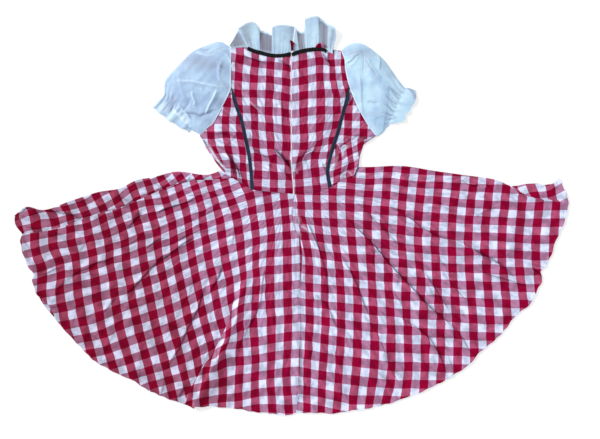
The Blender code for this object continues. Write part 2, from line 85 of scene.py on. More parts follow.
Array = np.ndarray
Material = bpy.types.Material
Pair = tuple[float, float]
Points = Sequence[Pair]
Chart = Sequence[tuple]  # column, row and place of a check, then the places right of it
Ground = Callable[[Array], Array]  # a value for each point in plan
Laid = tuple[Array, Array, Optional[Array]]  # points, weave, marks of creases
Lay = Callable[[Array, Array], Laid]


# --- curves and patches ---


def eased(share: Array) -> Array:
    """A smooth step from 0 to 1, for places on it that may lie past either end."""
    inside = np.clip(share, 0, 1)
    return inside * inside * (3 - 2 * inside)


def blend(share: Array, low: Array, high: Array) -> Array:
    """The value at a share of the way from one to another."""
    return (1 - share) * low + share * high


def swell(turns: Array) -> Array:
    """A wave from 0 to 1 and back."""
    return 0.5 + 0.5 * np.sin(turns)


def lefts_of(ahead: Array) -> Array:
    """Unit steps to the left of ways in plan."""
    return np.column_stack([-ahead[:, 1], ahead[:, 0]]) / np.hypot(*ahead.T)[:, None]


def curve(values: Array, slopes: Array, low: object, high: object, part: Array,
          span: Union[float, Array] = 1.0) -> Array:
    """Values between knots, on one smooth curve through all of them.

    Args:
        values: What is given at the knots.
        slopes: How fast it changes there.
        low: Index of the knot before each place.
        high: Index of the knot after it.
        part: Share of the way between the two.
        span: Distance between the two.

    Returns:
        One value for each place.
    """
    square, cube = part**2, part**3
    return ((2 * cube - 3 * square + 1) * values[low] + (3 * square - 2 * cube) * values[high]
            + span * ((cube - 2 * square + part) * slopes[low] + (cube - square) * slopes[high]))


class Line:
    """A line in plan through given points, straight between them or one smooth curve."""

    def __init__(self, points: Points, smooth: bool = False, samples: int = 240) -> None:
        """Work out the line once, as closely spaced samples.

        Args:
            points: The corners or knots, in millimetres.
            smooth: Whether the line runs through them as one curve.
            samples: How many samples a smooth curve gets.
        """
        self.knots = np.array(points, float)
        self._pace_out()
        if smooth:
            slopes = np.gradient(self.knots, self.places, axis=0)
            at = np.linspace(0, self.length, samples)
            low = np.searchsorted(self.places, at, side="right") - 1
            low = np.clip(low, 0, len(self.places) - 2)
            span = np.diff(self.places)[low][:, None]
            part = (at - self.places[low])[:, None] / span
            self.knots = curve(self.knots, slopes, low, low + 1, part, span)
            self._pace_out()

    def _pace_out(self) -> None:
        """Note how far along the line each of its knots lies."""
        steps = np.hypot(*np.diff(self.knots, axis=0).T)
        self.places = np.concatenate(([0], np.cumsum(steps)))
        self.length = float(self.places[-1])

    def at(self, shares: Array) -> Array:
        """Points at shares of the line's length."""
        along = np.asarray(shares) * self.length
        return np.stack([np.interp(along, self.places, axis) for axis in self.knots.T], axis=-1)

    def measure(self, places: Array) -> tuple[Array, Array, Array]:
        """How far places lie from the line, and how far along it.

        Args:
            places: Points in plan.

        Returns:
            The distance to the line, positive on its left, the share along it, and the way to
            its left there.
        """
        nearest = np.full(len(places), np.inf)
        found = np.zeros((len(places), 4))
        for start, run, before in zip(self.knots, np.diff(self.knots, axis=0), self.places):
            length = math.hypot(*run)
            if not length:
                continue
            offset = places - start
            part = np.clip(offset @ run / length**2, 0, 1)
            distance = np.hypot(*(offset - part[:, None] * run).T)
            side = np.sign(run[0] * offset[:, 1] - run[1] * offset[:, 0])
            left = np.broadcast_to((-run[1] / length, run[0] / length), offset.shape)
            closer = distance < nearest
            nearest[closer] = distance[closer]
            found[closer] = np.column_stack([
                side * distance, (before + part * length) / self.length, left])[closer]
        return found[:, 0], found[:, 1], found[:, 2:]


def wavering(points: Points, depth: float = 0.9) -> Line:
    """A hem line that wavers a little, as cloth does that isn't pressed."""
    line = Line(points, smooth=True)
    wave = np.sin(line.places / 5.3 + 1.7 * np.sin(line.places / 31))
    wave += 0.8 * np.sin(line.places / 11.7 + 2)
    ends = eased(line.places / 20) * eased((line.length - line.places) / 20)
    line.knots += lefts_of(np.gradient(line.knots, axis=0)) * (depth * wave * ends)[:, None]
    return line


@dataclass(frozen=True)
class Patch:
    """A four sided stretch of cloth in plan, between an inner, an outer and two side lines."""

    left: Line
    right: Line
    inner: Line
    outer: Line

    def plan(self, across: Array, down: Array) -> Array:
        """Points in plan, for shares from left to right and from the inner to the outer side."""
        u, v = across[:, None], down[:, None]
        inner, outer = (line.at((0.0, 1.0)) for line in (self.inner, self.outer))
        sides = blend(u, self.left.at(down), self.right.at(down))
        rims = blend(v, self.inner.at(across), self.outer.at(across))
        return sides + rims - blend(v, blend(u, *inner), blend(u, *outer))

    @classmethod
    def between(cls, *sides: Points) -> "Patch":
        """The patch between four straight or jointed lines: left, right, inner and outer."""
        return cls(*(Line(side) for side in sides))


@dataclass(frozen=True)
class Turn:
    """Where a panel turns over from one patch to another, as shares across it."""

    begin: float
    end: float

    def part(self, across: Array) -> Array:
        """How far round the turn points are, from 0 to 1."""
        return np.clip((across - self.begin) / (self.end - self.begin), 0, 1)

    def choose(self, across: Array, before: Array, after: Array, between: Array) -> Array:
        """One value before the turn, one after it and one on it."""
        late = np.where(across > self.end, after, between)
        return np.where(across < self.begin, before, late)

    def plan(self, before: Patch, after: Patch, across: Array, down: Array) -> Array:
        """Points of the two patches. Those on the turn stand at the edge of the second one."""
        early = before.plan(np.minimum(across / self.begin, 1), down)
        late = after.plan(np.clip((across - self.end) / (1 - self.end), 0, 1), down)
        return np.where((across < self.begin)[:, None], early, late)


# --- weave ---


class Weave:
    """The columns and rows of the checks over a piece, smooth between its charted checks."""

    SCALE = 100.0
    STIFFNESS = 0.003

    def __init__(self, chart: Chart) -> None:
        """Fit a thin bent plate to a chart of dark checks."""
        checks = np.array([(column + step, row, *place) for column, row, *run in chart
                           for step, place in enumerate(run)])
        count = len(checks)
        self.places = checks[:, 2:] / self.SCALE
        rest = np.column_stack([np.ones(count), self.places])
        bend = self.bend(self.places) + self.STIFFNESS * np.eye(count)
        system = np.block([[bend, rest], [rest.T, np.zeros((3, 3))]])
        self.weights = np.linalg.solve(system, np.vstack([checks[:, :2], np.zeros((3, 2))]))

    def bend(self, places: Array) -> Array:
        """The plate's bending between places and the charted checks."""
        apart = np.linalg.norm(places[:, None] - self.places[None], axis=2)
        return apart**2 * np.log(np.maximum(apart, 1e-9))

    def __call__(self, plan: Array) -> Array:
        """Columns and rows at places in plan, whole at the middle of a dark check."""
        places = plan / self.SCALE
        rest = np.column_stack([np.ones(len(places)), places])
        return self.bend(places) @ self.weights[:-3] + rest @ self.weights[-3:]


# --- creases ---


@dataclass(frozen=True)
class Crease:
    """A soft ridge or trough along a path, with the cloth that it takes up."""

    path: Points
    width: float  # how far it reaches to each side on average
    rise: float  # its height, or its depth if negative
    lean: float = 0.0  # from -1 to 1: positive makes the left flank steep, the right one gentle
    crisp: float = 0.5  # from a round crest at 0 to a sharp one at 1
    begin: float = 0.3  # share of the path over which it grows
    end: float = 0.3  # share of the path over which it dies out
    take: float = 0.0  # how much cloth is hidden in it, so that the checks step across it
    line: float = 0.0  # strength of the painted shadow line at its steep foot, or of a painted pale highlight line if negative
    shade: float = 0.0  # strength of the broad painted shade beyond that foot, or of painted light if negative

    REACH = 46.0
    STEP = 3.0  # half width of the step itself
    FOOT = 0.45  # where the dark line lies, as a share of the steep flank
    LEANING = 0.7  # how far the crest leans over, as a share of its height
    SOFT = 2.5  # width over which a dark line's mark ends

    def near(self, plan: Array) -> Array:
        """Which points the crease can reach."""
        knots = np.array(self.path)
        reach = self.REACH if self.take else 2 * self.width
        return ((plan > knots.min(0) - reach) & (plan < knots.max(0) + reach)).all(axis=1)

    def lay(self, plan: Array) -> tuple[Array, ...]:
        """What the crease does to the cloth.

        Args:
            plan: Points in plan.

        Returns:
            What it adds to the height of each point, how far it shifts the weave there, how far
            it pushes the point aside, and the distance to its line, its strength and its shade.
        """
        samples = 8 * len(self.path)
        signed, share, lefts = Line(self.path, smooth=True, samples=samples).measure(plan)
        taper = np.ones(len(plan))
        for part, over in ((share, self.begin), (1 - share, self.end)):
            if over:
                taper *= eased(part / over)
        off = np.clip(np.abs(signed) / (self.width * (1 - np.sign(signed) * self.lean)), 0, 1)
        flank = blend(self.crisp, np.cos(math.pi / 2 * off) ** 2, (1 - off) ** 2) * taper
        fade = np.clip(1 - np.abs(signed) / self.REACH, 0, 1) ** 2
        slip = self.take / 2 * np.tanh(signed / self.STEP) * fade * taper
        aside = self.LEANING * self.lean * abs(self.rise) * flank
        foot = math.copysign(self.FOOT * self.width * (1 - abs(self.lean)), self.lean)
        away = (signed - foot) * math.copysign(1, self.lean)
        strength = self.line * taper * eased((MARKED - np.abs(away)) / self.SOFT)
        shade = self.shade * taper * eased(1 - np.abs(away - 2) / (0.9 * self.width))
        return (self.rise * flank, lefts * slip[:, None], lefts * aside[:, None],
                np.column_stack([away, strength, shade]))


def wobble(plan: Array, phase: float) -> Array:
    """How far handled cloth has slipped out of true, in millimetres."""
    slips = ((95, phase), (34, phase + 5))
    return sum(0.9 * (rumple(plan, size, 1.0, turn) - HUMP) for size, turn in slips)


@dataclass(frozen=True)
class Creased:
    """What all creases together do to the points of a cloth."""

    height: Array
    source: Array  # where the weave is read
    aside: Array  # how far leaning crests push the points aside
    marks: Array  # distance to the nearest painted shadow line, its strength, and painted shade of hollows, painted light where negative


def creased(plan: Array, creases: Sequence[Crease]) -> Creased:
    """Lay creases into cloth, for points in plan."""
    height = np.zeros(len(plan))
    source = plan + np.column_stack([wobble(plan, 0.0), wobble(plan, 2.0)])
    aside = np.zeros((len(plan), 2))
    marks = np.tile((MARKED, 0.0, 0.0), (len(plan), 1))
    for crease in creases:
        near = np.flatnonzero(crease.near(plan))
        added, slip, push, mark = crease.lay(plan[near])
        height[near] += added
        source[near] += slip
        aside[near] += push
        new, old = (np.abs(each[:, 1]) / (1 + np.abs(each[:, 0])) for each in (mark, marks[near]))
        better = new > old
        marks[near[better], :2] = mark[better, :2]
        deeper = np.abs(mark[:, 2]) > np.abs(marks[near, 2])
        marks[near[deeper], 2] = mark[deeper, 2]
    return Creased(height, source, aside, marks)


def crumples(seed: int, count: int, low: Pair, high: Pair, heart: Pair,
             rise: float = 1.9) -> list[Crease]:
    """Short crisp creases strewn over a piece, most of them pointing away from one place.

    Args:
        seed: Fixes where they fall.
        count: How many there are.
        low: Lowest corner of where they fall.
        high: Highest corner.
        heart: The place that they point away from.
        rise: Height of a typical one.

    Returns:
        The creases.
    """
    chance = np.random.default_rng(seed)
    strewn = []
    for _ in range(count):
        middle = chance.uniform(low, high)
        away = middle - np.array(heart)
        turn = math.atan2(away[1], away[0]) + chance.normal(0, 0.55)
        along = np.array((math.cos(turn), math.sin(turn))) * chance.uniform(14, 60)
        bend = np.array((-along[1], along[0])) * chance.uniform(-0.12, 0.12)
        path = (middle - along, middle + bend, middle + along)
        strewn.append(Crease(path, chance.uniform(6, 11), rise * chance.uniform(0.5, 1.5),
                             chance.uniform(-0.6, 0.6), 0.7, 0.45, 0.45,
                             take=chance.uniform(0, 2.5), line=chance.uniform(0.1, 0.5)))
    return strewn


def seam(path: Points, depth: float = 0.7, width: float = 5.0, line: float = 0.3) -> Crease:
    """The narrow groove that a seam draws into the cloth."""
    return Crease(path, width, -depth, crisp=0.8, begin=0, end=0, line=line)


def glints(paths: Sequence[Points], width: float = 6.0) -> tuple[Crease, ...]:
    """Narrow sharp crests with a painted pale highlight line along them, and painted light beside
    them where they are wider than 6 mm.
    """
    return tuple(Crease(path, width, 0.27 * width, 0.2, 0.8, 0.2, 0.2, line=-0.75,
                        shade=min(0.0, 6 - width) * 0.05) for path in paths)


Tint = tuple  # width, strength of the shade and points of its path


def tints(rows: Sequence[Tint]) -> tuple[Crease, ...]:
    """Painted shade over soft stretches without a height of their own, or painted light if
    negative.
    """
    return tuple(Crease(path, width, 0.0, 0.98, shade=shade) for width, shade, *path in rows)


def rumple(plan: Array, size: float, amount: float, phase: float = 0.0) -> Array:
    """A slight unevenness of laid cloth.

    Args:
        plan: Points in plan.
        size: Typical distance between two humps.
        amount: Height of the humps.
        phase: Shifts the humps, so that no two pieces are alike.

    Returns:
        One height for each point, from 0 up.
    """
    turns = ((0.3, 1.0, 0.0), (1.4, 1.31, 2.0), (2.5, 0.77, 4.1), (0.9, 1.73, 1.2),
             (2.0, 2.3, 0.5))
    total = sum(np.sin(plan @ np.array((math.cos(angle + phase), math.sin(angle + phase)))
                       * pace * 2 * math.pi / size + start + 3 * phase)
                for angle, pace, start in turns)
    return amount * (total / len(turns) + HUMP).clip(0)


# --- shells ---


@dataclass(frozen=True)
class Grid:
    """How finely a shell is divided."""

    across: int
    down: int


def cloth_mesh(grid: Grid, lay: Lay) -> bpy.types.Mesh:
    """Lay a grid out as a single skin of cloth, with the weave as its UV map.

    Args:
        grid: Its divisions.
        lay: Gives millimetre points, columns and rows of the weave, and marks of creases or
            nothing, for shares across and down.

    Returns:
        The skin.
    """
    skin = bmesh.new()
    bmesh.ops.create_grid(skin, x_segments=grid.across, y_segments=grid.down, size=1.0)
    mesh = bpy.data.meshes.new("skin")
    skin.to_mesh(mesh)
    skin.free()
    flat = np.empty(len(mesh.vertices) * 3)
    mesh.vertices.foreach_get("co", flat)
    placed, counts, marks = lay(*(flat.reshape(-1, 3)[:, :2].T + 1) / 2)
    mesh.vertices.foreach_set("co", (placed * MM).ravel())
    corners = np.empty(len(mesh.loops), int)
    mesh.loops.foreach_get("vertex_index", corners)
    mesh.uv_layers.new(name="Weave").data.foreach_set("uv", counts[corners].ravel())
    if marks is not None:
        folds = mesh.attributes.new("Folds", "FLOAT_VECTOR", "POINT")
        folds.data.foreach_set("vector", marks.ravel())
    mesh.update()
    return mesh


def linked(name: str, data: bpy.types.ID) -> bpy.types.Object:
    """A new object in the scene, at the origin."""
    made = bpy.data.objects.new(name, data)
    bpy.context.collection.objects.link(made)
    return made


def dress_up(mesh: bpy.types.Mesh, material: Material, angle: float) -> None:
    """Give a mesh its material, and smooth faces between edges sharper than an angle."""
    mesh.materials.append(material)
    mesh.polygons.foreach_set("use_smooth", np.ones(len(mesh.polygons), bool))
    mesh.set_sharp_from_angle(angle=math.radians(angle))


def finish_shell(name: str, mesh: bpy.types.Mesh, wall: float, material: Material,
                 weld: bool = False) -> bpy.types.Object:
    """Give a skin its wall and its material, and link it.

    Args:
        name: The piece's name.
        mesh: The single skin.
        wall: Thickness in millimetres.
        material: Its finish.
        weld: Whether doubled points are merged first, as on a tube.

    Returns:
        The piece, with nothing live on it.
    """
    skin = bmesh.new()
    skin.from_mesh(mesh)
    if weld:
        bmesh.ops.remove_doubles(skin, verts=skin.verts, dist=1e-6)
        bmesh.ops.recalc_face_normals(skin, faces=skin.faces)
    elif sum(face.normal.z * face.calc_area() for face in skin.faces) < 0:
        bmesh.ops.reverse_faces(skin, faces=skin.faces)
    skin.to_mesh(mesh)
    skin.free()
    piece = linked(name, mesh)
    thick = piece.modifiers.new("Wall", "SOLIDIFY")
    thick.thickness = wall * MM
    thick.offset = 0.0
    thick.use_even_offset = False
    bpy.context.view_layer.update()
    seen = piece.evaluated_get(bpy.context.evaluated_depsgraph_get())
    piece.data = bpy.data.meshes.new_from_object(seen)
    piece.modifiers.clear()
    bpy.data.meshes.remove(mesh)
    piece.data.name = name
    dress_up(piece.data, material, 55)
    return piece


class Place(Enum):
    """The record's material slots."""

    COTTON = "checked_cotton"
    ORGANZA = "white_organza"
    BINDING = "black_binding"
    RIBBON = "blue_ribbon"
    ZIP = "zip_nylon"


def settle(piece: bpy.types.Object, node: str) -> bpy.types.Object:
    """Let a finished piece ride on the dress, in place of its solid."""
    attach(piece, BODY)
    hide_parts(node)
    triangles = sum(len(face.vertices) - 2 for face in piece.data.polygons)
    LOG.info("%s: %d triangles", piece.name, triangles)
    return piece


@dataclass(frozen=True)
class Cut:
    """The flat cloth that a piece is made of, in metres: its box, and its own area."""

    width: float
    length: float
    area: float


@dataclass(kw_only=True)
class Cloth:
    """A piece of cloth, which each kind lays out in its own way."""

    node: str  # the solid that it stands for
    name: str = ""  # its own name, which otherwise follows from the solid's
    grid: Grid
    cut: Optional[Cut] = None
    place: Place = Place.COTTON
    wall: float = COTTON
    rests_on: Sequence[str] = ()
    laying: Optional[Lay] = None  # how it is laid out, where its kind doesn't say

    TUBE = False

    def lay(self, across: Array, down: Array) -> Laid:
        """Points, weave and marks of the piece, for shares across and down."""
        return self.laying(across, down)

    def build(self, material: Material) -> None:
        piece = settle(
            finish_shell(self.name or f"{self.node}_cloth", cloth_mesh(self.grid, self.lay),
                         self.wall, material, self.TUBE), self.node)


# --- shading ---


def linear(code: str) -> tuple[float, ...]:
    """Linear red, green, blue and alpha of a screen colour in six hexadecimal digits."""
    parts = [int(code[at:at + 2], 16) / 255 for at in (0, 2, 4)]
    return (*(part / 12.92 if part <= 0.04045 else ((part + 0.055) / 1.055) ** 2.4
              for part in parts), 1.0)


Value = Union["Wire", float]


def operator(operation: str, swapped: bool = False) -> Callable[..., "Wire"]:
    """A method that works a Math node out from its own value and any others."""
    def work_out(wire: "Wire", *others: Value) -> "Wire":
        """Add the node."""
        values = (*others, wire) if swapped else (wire, *others)
        return wire.graph.node("ShaderNodeMath", {"operation": operation}, dict(enumerate(values)))
    return work_out


class Wire:
    """A number that a shader works out, with the usual operators."""

    __add__, __radd__ = operator("ADD"), operator("ADD", True)
    __sub__, __rsub__ = operator("SUBTRACT"), operator("SUBTRACT", True)
    __mul__, __rmul__ = operator("MULTIPLY"), operator("MULTIPLY", True)
    __abs__, root = operator("ABSOLUTE"), operator("SQRT")
    fraction, sine, angle = operator("FRACT"), operator("SINE"), operator("ARCTAN2")

    def __init__(self, graph: "Shader", socket: bpy.types.NodeSocket) -> None:
        """Hold an output socket of a shader's graph."""
        self.graph = graph
        self.socket = socket

    def step(self, low: float, high: float, start: float = 0.0, end: float = 1.0) -> "Wire":
        """A smooth step between two values."""
        return self.graph.node(
            "ShaderNodeMapRange", {"interpolation_type": "SMOOTHSTEP"},
            {"Value": self, "From Min": low, "From Max": high, "To Min": start, "To Max": end})


class Shader:
    """A material under construction."""

    def __init__(self, name: str) -> None:
        """Start a material with its Principled shader."""
        self.material = bpy.data.materials.new(name)
        self.material.use_nodes = True
        self.tree = self.material.node_tree
        self.surface = self.tree.nodes["Principled BSDF"]

    def plug(self, socket: bpy.types.NodeSocket, value: object) -> None:
        """Set or link one input socket."""
        if isinstance(value, Wire):
            self.tree.links.new(value.socket, socket)
        else:
            socket.default_value = value

    def node(self, kind: str, settings: dict, inputs: dict, output: Union[int, str] = 0) -> Wire:
        """Add any node.

        Args:
            kind: The node's type.
            settings: Its properties, set first.
            inputs: Values or wires for its sockets, by name or number.
            output: The socket that is handed back.

        Returns:
            The wire of that output.
        """
        made = self.tree.nodes.new(kind)
        for key, value in settings.items():
            setattr(made, key, value)
        for key, value in inputs.items():
            self.plug(made.inputs[key], value)
        return Wire(self, made.outputs[output])

    def split(self, vector: Wire, axes: str = "XY") -> list[Wire]:
        """The parts of a vector along some of its axes."""
        return [self.node("ShaderNodeSeparateXYZ", {}, {"Vector": vector}, axis) for axis in axes]

    def where(self) -> Wire:
        """The place on the dress, in metres."""
        return self.node("ShaderNodeTexCoord", {}, {}, "Object")

    def weave(self) -> list[Wire]:
        """Column and row of the weave."""
        return self.split(self.node("ShaderNodeUVMap", {"uv_map": "Weave"}, {}))

    def mark(self, axis: str) -> Wire:
        """What creases leave: distance to a painted shadow line at X, its strength at Y, and
        painted shade at Z, painted light where negative.
        """
        marks = self.node("ShaderNodeAttribute", {"attribute_name": "Folds"}, {}, "Vector")
        return self.split(marks, axis)[0]

    def lines(self, strength: float) -> Wire:
        """Where the painted shadow lines of the creases are, or the painted pale highlight lines
        if negative.
        """
        away = self.mark("X")
        fine = (1 - abs(away).step(0.2, 1.7)) * 0.75
        soft = (1 - abs(away - 2.2).step(0.5, 4.5)) * 0.35
        return (fine + soft) * self.mark("Y") * strength

    def mix(self, share: Value, first: object, second: object, how: str = "MIX") -> Wire:
        """Blend two colours by the share of the second."""
        settings = {"data_type": "RGBA", "blend_type": how, "clamp_factor": True}
        return self.node("ShaderNodeMix", settings, {0: share, 6: first, 7: second}, 2)

    def tone(self, colour: Wire, *layers: tuple) -> Wire:
        """Blend tones over a colour, from rows of share, tone and way, one after another."""
        for share, tone, *how in layers:
            colour = self.mix(share, colour, linear(tone), *how)
        return colour

    def noise(self, size: float, detail: float = 2.0, vector: Optional[Wire] = None) -> Wire:
        """Noise with humps of a size in metres, on the dress unless told otherwise."""
        inputs = {"Vector": vector or self.where(), "Scale": 1 / size, "Detail": detail}
        return self.node("ShaderNodeTexNoise", {}, inputs)

    def bumps(self, *layers: tuple[Wire, float, float]) -> Wire:
        """A bumped normal, from rows of height, distance and strength, each on the one before."""
        normal = {}
        for height, distance, strength in layers:
            inputs = {"Height": height, "Distance": distance, "Strength": strength, **normal}
            normal = {"Normal": self.node("ShaderNodeBump", {}, inputs)}
        return normal["Normal"]

    def finish(self, **inputs: object) -> Material:
        """Plug the surface, by socket names with underscores, and hand the material back."""
        for key, value in inputs.items():
            self.plug(self.surface.inputs[key.replace("_", " ")], value)
        return self.material


@dataclass(frozen=True)
class CheckedCotton:
    """Yarn dyed cotton in even checks."""

    white: str = "CFD6EF"
    across: str = "A87494"  # a red row over white columns
    down: str = "A84A6B"  # a red column over white rows
    dark: str = "89002E"
    painted_left_shade: str = "DDC6C4"  # painted shade: the left and lower left of the dress is darker and duller
    shade: str = "8A7486"  # painted shade beyond the foot of a deep crease
    glint: str = "D9DDF2"  # painted highlight on a crest
    hollow: str = "2E2A48"  # painted shadow in the fine line of a crease
    stripe: float = 0.258  # half of a red stripe, as a share of the repeat
    blur: float = 0.010
    threads: float = 90.0  # threads in one repeat
    waist: float = 0.08
    streaks: float = 30.0  # in one radian about the middle of the waist
    rings: float = 34.0  # in one metre out from it
    grain: float = 0.0011
    cloud: float = 0.07  # size of the duller patches
    crumple: float = 0.018

    def material(self) -> Material:
        """Build the cloth's material from its weave map."""
        shader = Shader("checked_cotton")
        column, row = shader.weave()
        slub = shader.noise(0.006, 3.0) * 0.02 - 0.01
        red_column, red_row = (
            1 - abs((count + slub + 0.5).fraction() - 0.5).step(
                self.stripe - self.blur, self.stripe + self.blur) for count in (column, row))
        lit = shader.mix(red_column, linear(self.white), linear(self.down))
        crossed = shader.mix(red_column, linear(self.across), linear(self.dark))
        east, north = shader.split(shader.where())
        # Painted shade: the left and lower left of the dress get darker, more so on the red
        # checks.
        painted_left_shade = (east * -0.9 - north * 0.35).step(0.18, 0.38)
        # Over the checks: painted shadow lines and painted shade in creases, painted highlights on
        # crests, and painted shade on the left of the dress.
        toned = shader.tone(
            shader.mix(red_row, lit, crossed),
            (shader.noise(self.grain).step(0.3, 0.7, 0.0, 0.10), "F4EEF2", "SOFT_LIGHT"),
            (shader.noise(self.cloud).step(0.35, 0.7, 0.0, 0.08), "7F5A74", "MULTIPLY"),
            (shader.lines(0.85), self.hollow, "MULTIPLY"),
            (shader.mark("Z"), self.shade, "MULTIPLY"),
            (shader.lines(-0.6), self.glint), (shader.mark("Z") * -1.0, self.glint),
            (painted_left_shade * (0.4 + 0.45 * (red_column + red_row).step(0.0, 1.0)), self.painted_left_shade, "MULTIPLY"))
        # Painted light and shade of fine wrinkles: the colour is lighter and darker in streaks
        # that run out from the waist, and the same streaks bump the surface.
        south = self.waist - north
        streaks = {"X": east.angle(south) * self.streaks,
                   "Y": (east * east + south * south).root() * self.rings}
        uneven = shader.noise(1.0, 3.0, shader.node("ShaderNodeCombineXYZ", {}, streaks))
        toned = shader.mix(1.0, toned, uneven.step(0.36, 0.64, 0.79, 1.22), "MULTIPLY")
        warp, weft = ((count * (self.threads * 2 * math.pi)).sine() for count in (column, row))
        normal = shader.bumps(
            (warp * weft, 0.00012, 0.25), (shader.noise(self.crumple, 3.0), 0.0022, 0.35),
            (uneven, 0.005, 0.4))
        rough = shader.noise(0.004).step(0.2, 0.8, 0.78, 0.92)
        return shader.finish(
            Base_Color=toned, Roughness=rough, Normal=normal, Specular_IOR_Level=0.06)


@dataclass(frozen=True)
class SheerCloth:
    """Thin white blouse cloth of the sleeves and the frill."""

    name: str = "white_organza"
    light: str = "BCDCF4"
    shade: str = "A6C2E4"
    # Colours of the painted shade in hollows and crease lines, and of painted highlights.
    hollow: str = "86829A"
    glint: str = "DDEFFF"
    sheer: float = 0.95
    cloud: float = 0.045  # size of its lighter and darker patches
    threads: float = 620.0  # how fast they follow each other in the weave

    def material(self) -> Material:
        """Build the sheer cloth's material."""
        shader = Shader(self.name)
        colour = shader.mix(
            shader.noise(self.cloud).step(0.35, 0.7), linear(self.light), linear(self.shade))
        # Painted shadow lines, painted shade in hollows and painted highlights, over the cloth's
        # own patches.
        toned = shader.tone(
            colour, (shader.noise(0.003).step(0.3, 0.7, 0.0, 0.05), "F5FAFF"),
            (shader.lines(0.7), self.hollow), (shader.lines(-0.6), self.glint),
            (shader.mark("Z"), self.hollow), (shader.mark("Z") * -1.0, self.glint))
        warp, weft = ((count * self.threads).sine() for count in shader.weave())
        normal = shader.bumps((warp * weft, 0.0001, 0.2), (shader.noise(0.012, 3.0), 0.003, 0.4))
        rough = shader.noise(0.005).step(0.2, 0.8, 0.5, 0.65)
        return shader.finish(
            Base_Color=toned, Roughness=rough, Normal=normal, Sheen_Weight=0.2, Alpha=self.sheer)


@dataclass(frozen=True)
class Trim:
    """A narrow woven trim: ribbon, binding or zip tape."""

    name: str
    colour: str
    light: str
    roughness: float
    rib: float = 0.0008  # distance between its ribs

    def material(self) -> Material:
        """Build the trim's material."""
        shader = Shader(self.name)
        cloud = shader.noise(0.012, 3.0).step(0.3, 0.7, 0.0, 0.6)
        colour = shader.mix(cloud, linear(self.colour), linear(self.light))
        along = shader.split(shader.where(), "Y")[0]
        normal = shader.bumps(((along * (2 * math.pi / self.rib)).sine(), 0.00012, 0.35))
        rough = shader.noise(0.003).step(0.2, 0.8, self.roughness - 0.06, self.roughness + 0.1)
        return shader.finish(
            Base_Color=colour, Roughness=rough, Normal=normal, Specular_IOR_Level=0.2)


@dataclass(frozen=True)
class Paper:
    """The pale floor."""

    tone: float = 0.32
    glow: float = 0.68  # lifts the shadows, as on a lit table

    def material(self) -> Material:
        """Build the floor's material."""
        shader = Shader("pale_floor")
        tone = (self.tone, self.tone, self.tone, 1.0)
        return shader.finish(Base_Color=tone, Roughness=0.9, Emission_Color=(1.0, 1.0, 1.0, 1.0),
                             Emission_Strength=self.glow)


# --- cotton panels ---


def body_height(plan: Array) -> Array:
    """The slight unevenness that all the cotton of the dress shares, without a break at seams."""
    return rumple(plan, 125, 1.3) + rumple(plan, 47, 0.35, 1.0)


@dataclass(frozen=True)
class Overlap:
    """Two weaves, with the second one on the left of a path."""

    base: Weave
    over: Weave
    path: Points
    fade: float = 3.0  # width over which one gives way to the other
    start: float = 0.15  # share of the path over which the second one comes in

    def __call__(self, plan: Array) -> Array:
        """Columns and rows at places in plan."""
        signed, share, _ = Line(self.path).measure(plan)
        part = (eased(signed / self.fade + 0.5) * eased(share / self.start))[:, None]
        return blend(part, self.base(plan), self.over(plan))


@dataclass(kw_only=True)
class Panel(Cloth):
    """One piece of cotton that lies flat, apart from its creases."""

    patch: Patch  # its outline in plan
    weave: Ground  # how its checks run
    creases: Sequence[Crease] = ()
    level: float = BACK_LEVEL
    hem: float = 0.0  # width of its turned hem

    LOWEST = -1.2  # how deep a groove may go below the level
    TURNED = 0.7  # height of the hem, and depth of the groove of its stitches
    EDGE, STITCHED = 1.5, 1.2  # widths of the hem's step and of that groove
    MARGIN = 0.04  # share of the panel along its edges where no point is pushed aside

    def rows(self, down: Array) -> Array:
        """Shares of the way down, closer together at a hem."""
        return np.interp(down, (0, 0.92, 1), (0, 0.972, 1)) if self.hem else down

    def inside(self, across: Array, down: Array) -> Array:
        """How free points are to be pushed aside: not at all at the panel's own edges."""
        return eased(np.minimum.reduce([across, 1 - across, down, 1 - down]) / self.MARGIN)

    def hemmed(self, shares: Array, height: Array) -> Array:
        """Heights with the turned hem and the groove of its stitches added."""
        if not self.hem:
            return height
        away = (1 - shares) * max(self.patch.left.length, self.patch.right.length) - self.hem
        turned = 1 - eased(away / self.EDGE + 0.5)
        stitched = np.exp(-((away + self.EDGE) / self.STITCHED) ** 2)
        return height + self.TURNED * (turned - stitched)

    def raised(self, plan: Array, shares: Array, folds: Creased) -> Array:
        """Heights over the plan, for shares of the way down to the hem."""
        height = np.maximum(body_height(plan) + folds.height, self.LOWEST)
        return self.level + self.hemmed(shares, height)

    def lay(self, across: Array, down: Array) -> Laid:
        """Points, weave and marks of the panel, for shares across and down."""
        if self.laying:
            return self.laying(across, down)
        shares = self.rows(down)
        plan = self.patch.plan(across, shares)
        folds = creased(plan, self.creases)
        placed = plan + folds.aside * self.inside(across, down)[:, None]
        height = self.raised(plan, shares, folds)
        return np.column_stack([placed, height]), self.weave(folds.source), folds.marks


def straight_weave(plan: Array) -> Array:
    """Checks that run square to the frame, for cloth that is covered."""
    return plan / PITCH


Fold = tuple  # width, rise, lean, take and points of its path


def ridges(rows: Sequence[Fold], deep: float = 0.05) -> tuple[Crease, ...]:
    """Crisp creases from their table, a quarter higher, with painted shadow lines at their feet
    and painted shade where they take most cloth.
    """
    return tuple(Crease(path, width, rise * 1.25, lean, 0.75, take=take,
                        line=0.3 + 0.08 * take, shade=max(0.0, take - 4) * deep)
                 for width, rise, lean, take, *path in rows)


def sheer_ridges(rows: Sequence[Fold]) -> tuple[Crease, ...]:
    """Crisp creases of thin cloth, from a table with the strength of a painted shadow line instead
    of a take.

    They are a fifth higher. A negative strength paints a pale highlight line instead, and one
    beyond -1 also paints light on the cloth beside the line.
    """
    return tuple(Crease(path, width, rise * 1.2, lean, 0.75, 0.2, 0.25, line=line,
                        shade=min(0.0, line + 1))
                 for width, rise, lean, line, *path in rows)


